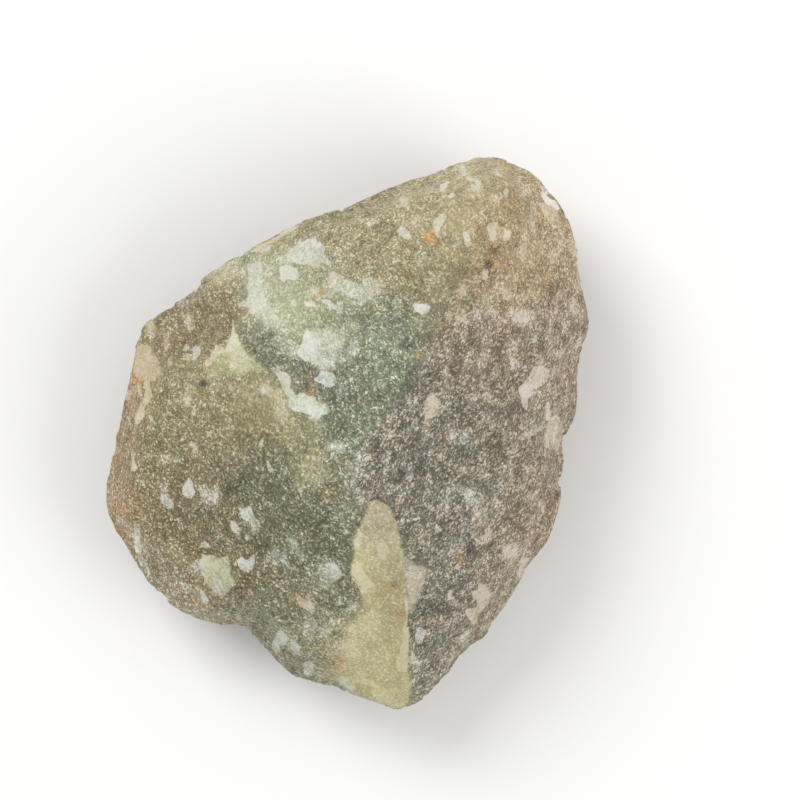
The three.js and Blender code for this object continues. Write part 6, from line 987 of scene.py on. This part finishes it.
# underneath and on the low walls the stone's own tints go on at random
t1 = smooth(-0.25, 0.35, noise(p / 7.0, 81) + 0.4 * noise(p / 2.5, 82))[:, None]
t2 = smooth(0.0, 0.5, noise(p / 5.0, 83) + 0.4 * noise(p / 2.0, 84))[:, None]
under = PALETTE["moss"] * (1 - t1) + PALETTE["olive"] * t1
under = under * (1 - 0.75 * t2) + PALETTE["umber"] * 0.75 * t2
down = (1 - smooth(-0.35, 0.1, n0[:, 2]))[:, None]
ground = ground * (1 - down) + under * down
# unevenness of tone
tone = 1 + (0.07 * noise(p / 3.0, 91) + 0.05 * noise(p / 1.3, 92)) * (1 - 0.5 * on_split[:, 0])
ground = ground * tone[:, None]
rust = np.zeros(len(p))
for x, y, r, strength in RUST:
    rust = np.maximum(rust, near(ragged, x, y, r * 1.15) * strength * (up > 0.5))
for x, y, r, strength, tone in DARK:
    k = (np.clip(near(uv, x, y, r) * 1.3, 0, 1) * strength * (up > 0.5))[:, None]
    ground = ground * (1 - k) + PALETTE[tone] * k
    share = share - 0.5 * k[:, 0]
for c in rng.choice(low, 26, replace=False):
    d = np.linalg.norm(p - p[c], axis=1)
    rust = np.maximum(rust, np.clip(1.3 - d / rng.uniform(0.25, 0.6), 0, 1.2) * 0.8)

# ---------------------------------------------------------------- the mesh
points = (p + shift) / 1000.0
mesh = bpy.data.meshes.new("raw_jade_stone")
mesh.from_pydata(points.tolist(), [], faces.tolist())
mesh.update()


def attribute(name, values):
    a = mesh.attributes.new(name, "FLOAT", "POINT")
    a.data.foreach_set("value", np.ascontiguousarray(values, dtype=np.float32))


attribute("pale", veil)
attribute("crisp", veil_crisp)
attribute("plate", plate)
attribute("plate_on", plate_on)
attribute("calm", calm)
attribute("share", share)
attribute("right", cut[:, 0])
attribute("rust", rust)
chips_ = mesh.attributes.new("chip", "FLOAT_COLOR", "POINT")
chips_.data.foreach_set("color", np.column_stack([chip, np.ones(len(p))]).astype(np.float32).ravel())
colour = mesh.attributes.new("ground", "FLOAT_COLOR", "POINT")
colour.data.foreach_set("color", np.column_stack([ground, np.ones(len(p))]).astype(np.float32).ravel())
mesh.polygons.foreach_set("use_smooth", [True] * len(mesh.polygons))
stone = bpy.data.objects.new("raw_jade_stone", mesh)
bpy.context.scene.collection.objects.link(stone)

# ---------------------------------------------------------------- the material
mat = bpy.data.materials.new("raw_jade")
mat.use_nodes = True
nt = mat.node_tree
nt.nodes.clear()
link = nt.links.new


def node(kind, **settings):
    n = nt.nodes.new(kind)
    for k, v in settings.items():
        setattr(n, k, v)
    return n


def put(socket, value):
    if isinstance(value, bpy.types.NodeSocket):
        link(value, socket)
    else:
        socket.default_value = value


def sums(op, a, b=0.0, c=None):
    n = node("ShaderNodeMath", operation=op)
    put(n.inputs[0], a)
    put(n.inputs[1], b)
    if c is not None:
        put(n.inputs[2], c)
    return n.outputs[0]


def ramp(x, lo, hi, to_lo=0.0, to_hi=1.0, how="SMOOTHSTEP"):
    n = node("ShaderNodeMapRange", interpolation_type=how)
    put(n.inputs["Value"], x)
    n.inputs["From Min"].default_value = lo
    n.inputs["From Max"].default_value = hi
    n.inputs["To Min"].default_value = to_lo
    n.inputs["To Max"].default_value = to_hi
    return n.outputs["Result"]


def mixed(f, a, b, how="MIX"):
    n = node("ShaderNodeMix", data_type="RGBA", blend_type=how)
    put(n.inputs[0], f)
    put(n.inputs[6], a)
    put(n.inputs[7], b)
    return n.outputs[2]


def mixf(f, a, b):
    n = node("ShaderNodeMix", data_type="FLOAT")
    put(n.inputs[0], f)
    put(n.inputs[2], a)
    put(n.inputs[3], b)
    return n.outputs[0]


def read(name, kind="Fac"):
    return node("ShaderNodeAttribute", attribute_type="GEOMETRY", attribute_name=name).outputs[kind]


def tinted(colour, k):
    """colour times a number"""
    n = node("ShaderNodeVectorMath", operation="SCALE")
    put(n.inputs[0], colour)
    put(n.inputs[3], k)
    return n.outputs[0]


def clouds(vector, scale, detail=2.0, rough=0.6, w=0.0):
    n = node("ShaderNodeTexNoise", noise_dimensions="4D")
    put(n.inputs["Vector"], vector)
    n.inputs["W"].default_value = w
    n.inputs["Scale"].default_value = scale
    n.inputs["Detail"].default_value = detail
    n.inputs["Roughness"].default_value = rough
    return n.outputs["Fac"]


def cells(vector, scale, feature="F1", random=1.0):
    n = node("ShaderNodeTexVoronoi", feature=feature, voronoi_dimensions="3D")
    put(n.inputs["Vector"], vector)
    n.inputs["Scale"].default_value = scale
    n.inputs["Randomness"].default_value = random
    return n


def rgb(c):
    return (float(c[0]), float(c[1]), float(c[2]), 1.0)


obj = node("ShaderNodeTexCoord").outputs["Object"]
scale_mm = node("ShaderNodeVectorMath", operation="SCALE")
link(obj, scale_mm.inputs[0])
scale_mm.inputs[3].default_value = 1000.0
mm = scale_mm.outputs[0]
# on the right face the grains run long, up to the right
streak = node("ShaderNodeMapping", vector_type="TEXTURE")
link(mm, streak.inputs["Vector"])
streak.inputs["Rotation"].default_value = (0.0, 0.0, math.radians(58))
streak.inputs["Scale"].default_value = (1.25, 0.92, 1.0)
along = streak.outputs["Vector"]
slant = node("ShaderNodeMapping", vector_type="TEXTURE")
link(mm, slant.inputs["Vector"])
slant.inputs["Rotation"].default_value = (0.0, 0.0, math.radians(-52))
slant.inputs["Scale"].default_value = (1.05, 0.95, 1.0)
across = slant.outputs["Vector"]

right_m = read("right")
frayed = sums("MULTIPLY_ADD", clouds(mm, 2.4, 3.0, 0.7, 11.0), 0.46, -0.23)
mottled = sums("MULTIPLY_ADD", clouds(mm, 1.3, 3.0, 0.65, 12.0), 0.95, 0.50)
plate_v = sums("MULTIPLY", ramp(sums("ADD", read("plate"), frayed), 0.43, 0.57), read("plate_on"))
plate_v = sums("MINIMUM", sums("MULTIPLY", plate_v, mottled), 1.0)
pale_v = sums("MAXIMUM", read("pale"), plate_v)
crisp_v = sums("MAXIMUM", read("crisp"), sums("MULTIPLY", plate_v, 0.9))
calm_v = read("calm")


def parts(colour):
    n = node("ShaderNodeSeparateColor")
    link(colour, n.inputs[0])
    return n.outputs


def centred(x, k):
    """(x - 0.5) * k"""
    return sums("MULTIPLY_ADD", x, k, -0.5 * k)


# sugary grain, from single crystals to clumps of them
fine_l = parts(cells(across, 9.8).outputs["Color"])
fine_r = parts(cells(along, 10.0).outputs["Color"])
mid_l = parts(cells(across, 5.2).outputs["Color"])
mid_r = parts(cells(along, 5.8).outputs["Color"])
one = [mixf(right_m, fine_l[k], fine_r[k]) for k in range(3)]
two = [mixf(right_m, mid_l[k], mid_r[k]) for k in range(3)]
dust = mixf(right_m, clouds(across, 2.4, 3.0, 0.6, 3.0), clouds(along, 2.6, 3.0, 0.6, 4.0))
clump = mixf(right_m, clouds(mm, 0.62, 2.0, 0.55, 5.0), clouds(along, 0.66, 2.0, 0.55, 6.0))
few = mixf(right_m, 2.6, 1.8)                         # light crystals are the fewer
one_s = sums("MULTIPLY_ADD", sums("POWER", one[0], few), 0.75, -0.235)
two_s = sums("MULTIPLY_ADD", sums("POWER", two[0], few), 1.00, -0.31)
grain = sums("ADD", one_s, two_s)
grain = sums("ADD", grain, centred(dust, 1.00))
grain = sums("ADD", grain, sums("MULTIPLY", centred(clump, 1.0), mixf(right_m, 0.85, 1.9)))
swing = sums("MULTIPLY_ADD", calm_v, -0.62, mixf(right_m, 1.16, 1.36))
swing = sums("MULTIPLY", swing, sums("MULTIPLY_ADD", crisp_v, -0.50, 1.0))
# bright specks painted into the colour: light crystals with painted glints of their faces catching the light
painted_glint = ramp(one[2], 0.945, 0.965, 0.0, 0.40)
light = sums("MULTIPLY", sums("ADD", grain, painted_glint), swing)
light = sums("ADD", light, read("share"))
ragged_k = sums("MULTIPLY", pale_v, sums("SUBTRACT", 1.0, pale_v))
light = sums("ADD", light, sums("MULTIPLY", ragged_k, centred(clouds(mm, 3.4, 2.0, 0.6, 7.0), 2.2)))
# scattered little flecks
fleck = cells(mm, 1.15)
fleck_on = ramp(parts(fleck.outputs["Color"])[0], 0.70, 0.76)
fleck_d = ramp(sums("ADD", fleck.outputs["Distance"], centred(clouds(mm, 2.6, 3.0, 0.7, 9.0), 0.7)), 0.42, 0.18)
light = sums("ADD", light, sums("MULTIPLY", sums("MULTIPLY", fleck_on, fleck_d), sums("MULTIPLY_ADD", calm_v, -0.25, 0.34)))
light = sums("MULTIPLY_ADD", pale_v, 0.95, light)
light = sums("MULTIPLY_ADD", crisp_v, 0.16, light)
light = sums("ADD", light, sums("MULTIPLY_ADD", calm_v, 0.10, 0.36))

ground_c = read("ground", "Color")
chip_c = read("chip", "Color")
dark_c = tinted(ground_c, 0.42)
lite_c = mixed(sums("MULTIPLY_ADD", pale_v, 0.55, 0.36), tinted(ground_c, 1.75), tinted(chip_c, 0.80))
body_c = mixed(ramp(light, -0.35, 0.42, how="LINEAR"), dark_c, ground_c)
body_c = mixed(ramp(light, 0.42, 1.05, how="LINEAR"), body_c, lite_c)
body_c = mixed(ramp(light, 1.00, 1.45, 0.0, 0.95, how="LINEAR"), body_c, chip_c)

# pinker and greener grains
hue = sums("ADD", centred(clouds(mm, 1.25, 2.0, 0.6, 8.0), 1.7), centred(two[1], 0.55))
hue = sums("MULTIPLY_ADD", hue, sums("MULTIPLY_ADD", calm_v, -0.6, 1.0), 0.5)
tilt_c = mixed(ramp(hue, 0.0, 1.0), rgb((1.07, 0.985, 0.92)), rgb((0.93, 1.01, 1.02)))
body_c = mixed(1.0, body_c, tilt_c, "MULTIPLY")

# rust grains
rust_v = read("rust")
rust_m = ramp(sums("MULTIPLY_ADD", rust_v, centred(dust, 1.6), rust_v), 0.06, 0.90, 0.0, 0.9)
rust_c = mixed(two[0], rgb(srgb(168, 112, 58)), rgb(srgb(214, 164, 104)))
body_c = mixed(rust_m, body_c, rust_c)

# relief of the grain
height = sums("ADD", centred(two[0], 0.35), sums("MULTIPLY", grain, 0.5))
bump = node("ShaderNodeBump")
bump.inputs["Distance"].default_value = 0.00009
link(sums("MULTIPLY_ADD", calm_v, -0.42, 0.55), bump.inputs["Strength"])
link(height, bump.inputs["Height"])

# little crystal faces that catch the light
glint_m = ramp(two[2], 0.90, 0.93)
rough = sums("MULTIPLY_ADD", dust, 0.22, 0.48)
rough = mixf(glint_m, rough, 0.24)
rough = mixf(sums("MULTIPLY", calm_v, 0.7), rough, 0.40)

shader = node("ShaderNodeBsdfPrincipled")
link(body_c, shader.inputs["Base Color"])
link(rough, shader.inputs["Roughness"])
link(bump.outputs["Normal"], shader.inputs["Normal"])
shader.inputs["IOR"].default_value = 1.55
shader.inputs["Specular IOR Level"].default_value = 0.4
shader.inputs["Subsurface Weight"].default_value = 0.10
shader.inputs["Subsurface Radius"].default_value = (0.9, 1.0, 0.6)
shader.inputs["Subsurface Scale"].default_value = 0.0006
out = node("ShaderNodeOutputMaterial")
link(shader.outputs[0], out.inputs["Surface"])
mesh.materials.append(mat)

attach(stone, "root")
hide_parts("raw_jade")

# ---------------------------------------------------------------- floor, light, camera
bpy.ops.mesh.primitive_plane_add(size=3.0, location=(0, 0, 0))
floor = bpy.context.object
floor.name = "floor"
fm = bpy.data.materials.new("pale_floor")
fm.use_nodes = True
fb = fm.node_tree.nodes["Principled BSDF"]
fb.inputs["Base Color"].default_value = (0.86, 0.86, 0.855, 1)
fb.inputs["Roughness"].default_value = 0.7
floor.data.materials.append(fm)
floor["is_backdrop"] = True

scene = bpy.context.scene
world = bpy.data.worlds.new("studio")
world.use_nodes = True
bg = world.node_tree.nodes["Background"]
bg.inputs["Color"].default_value = (1.0, 0.995, 0.985, 1)
bg.inputs["Strength"].default_value = 0.62
scene.world = world


def lamp(name, place, aim, size, power, tint=(1, 1, 1)):
    data = bpy.data.lights.new(name, "AREA")
    data.shape = "SQUARE"
    data.size = size
    data.energy = power
    data.color = tint
    o = bpy.data.objects.new(name, data)
    o.location = place
    o.rotation_euler = (Vector(aim) - Vector(place)).to_track_quat("-Z", "Y").to_euler()
    scene.collection.objects.link(o)
    return o


lamp("key", (-0.38, 0.42, 0.62), (0, 0, 0.01), 0.42, 3.6)
lamp("fill", (0.55, -0.20, 0.50), (0, 0, 0.01), 0.50, 2.3)

eye = bpy.data.cameras.new("camera")
eye.sensor_width = 36.0
eye.lens = 36.0 * CAMERA_ABOVE / (800 / 9.6)
camera = bpy.data.objects.new("camera", eye)
camera.location = ((EYE[0] + shift[0]) / 1000, (EYE[1] + shift[1]) / 1000, (GIRTH_Z + CAMERA_ABOVE) / 1000)
camera.rotation_euler = (0, 0, 0)
scene.collection.objects.link(camera)
scene.camera = camera
scene.view_settings.view_transform = "Standard"

low_, high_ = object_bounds()
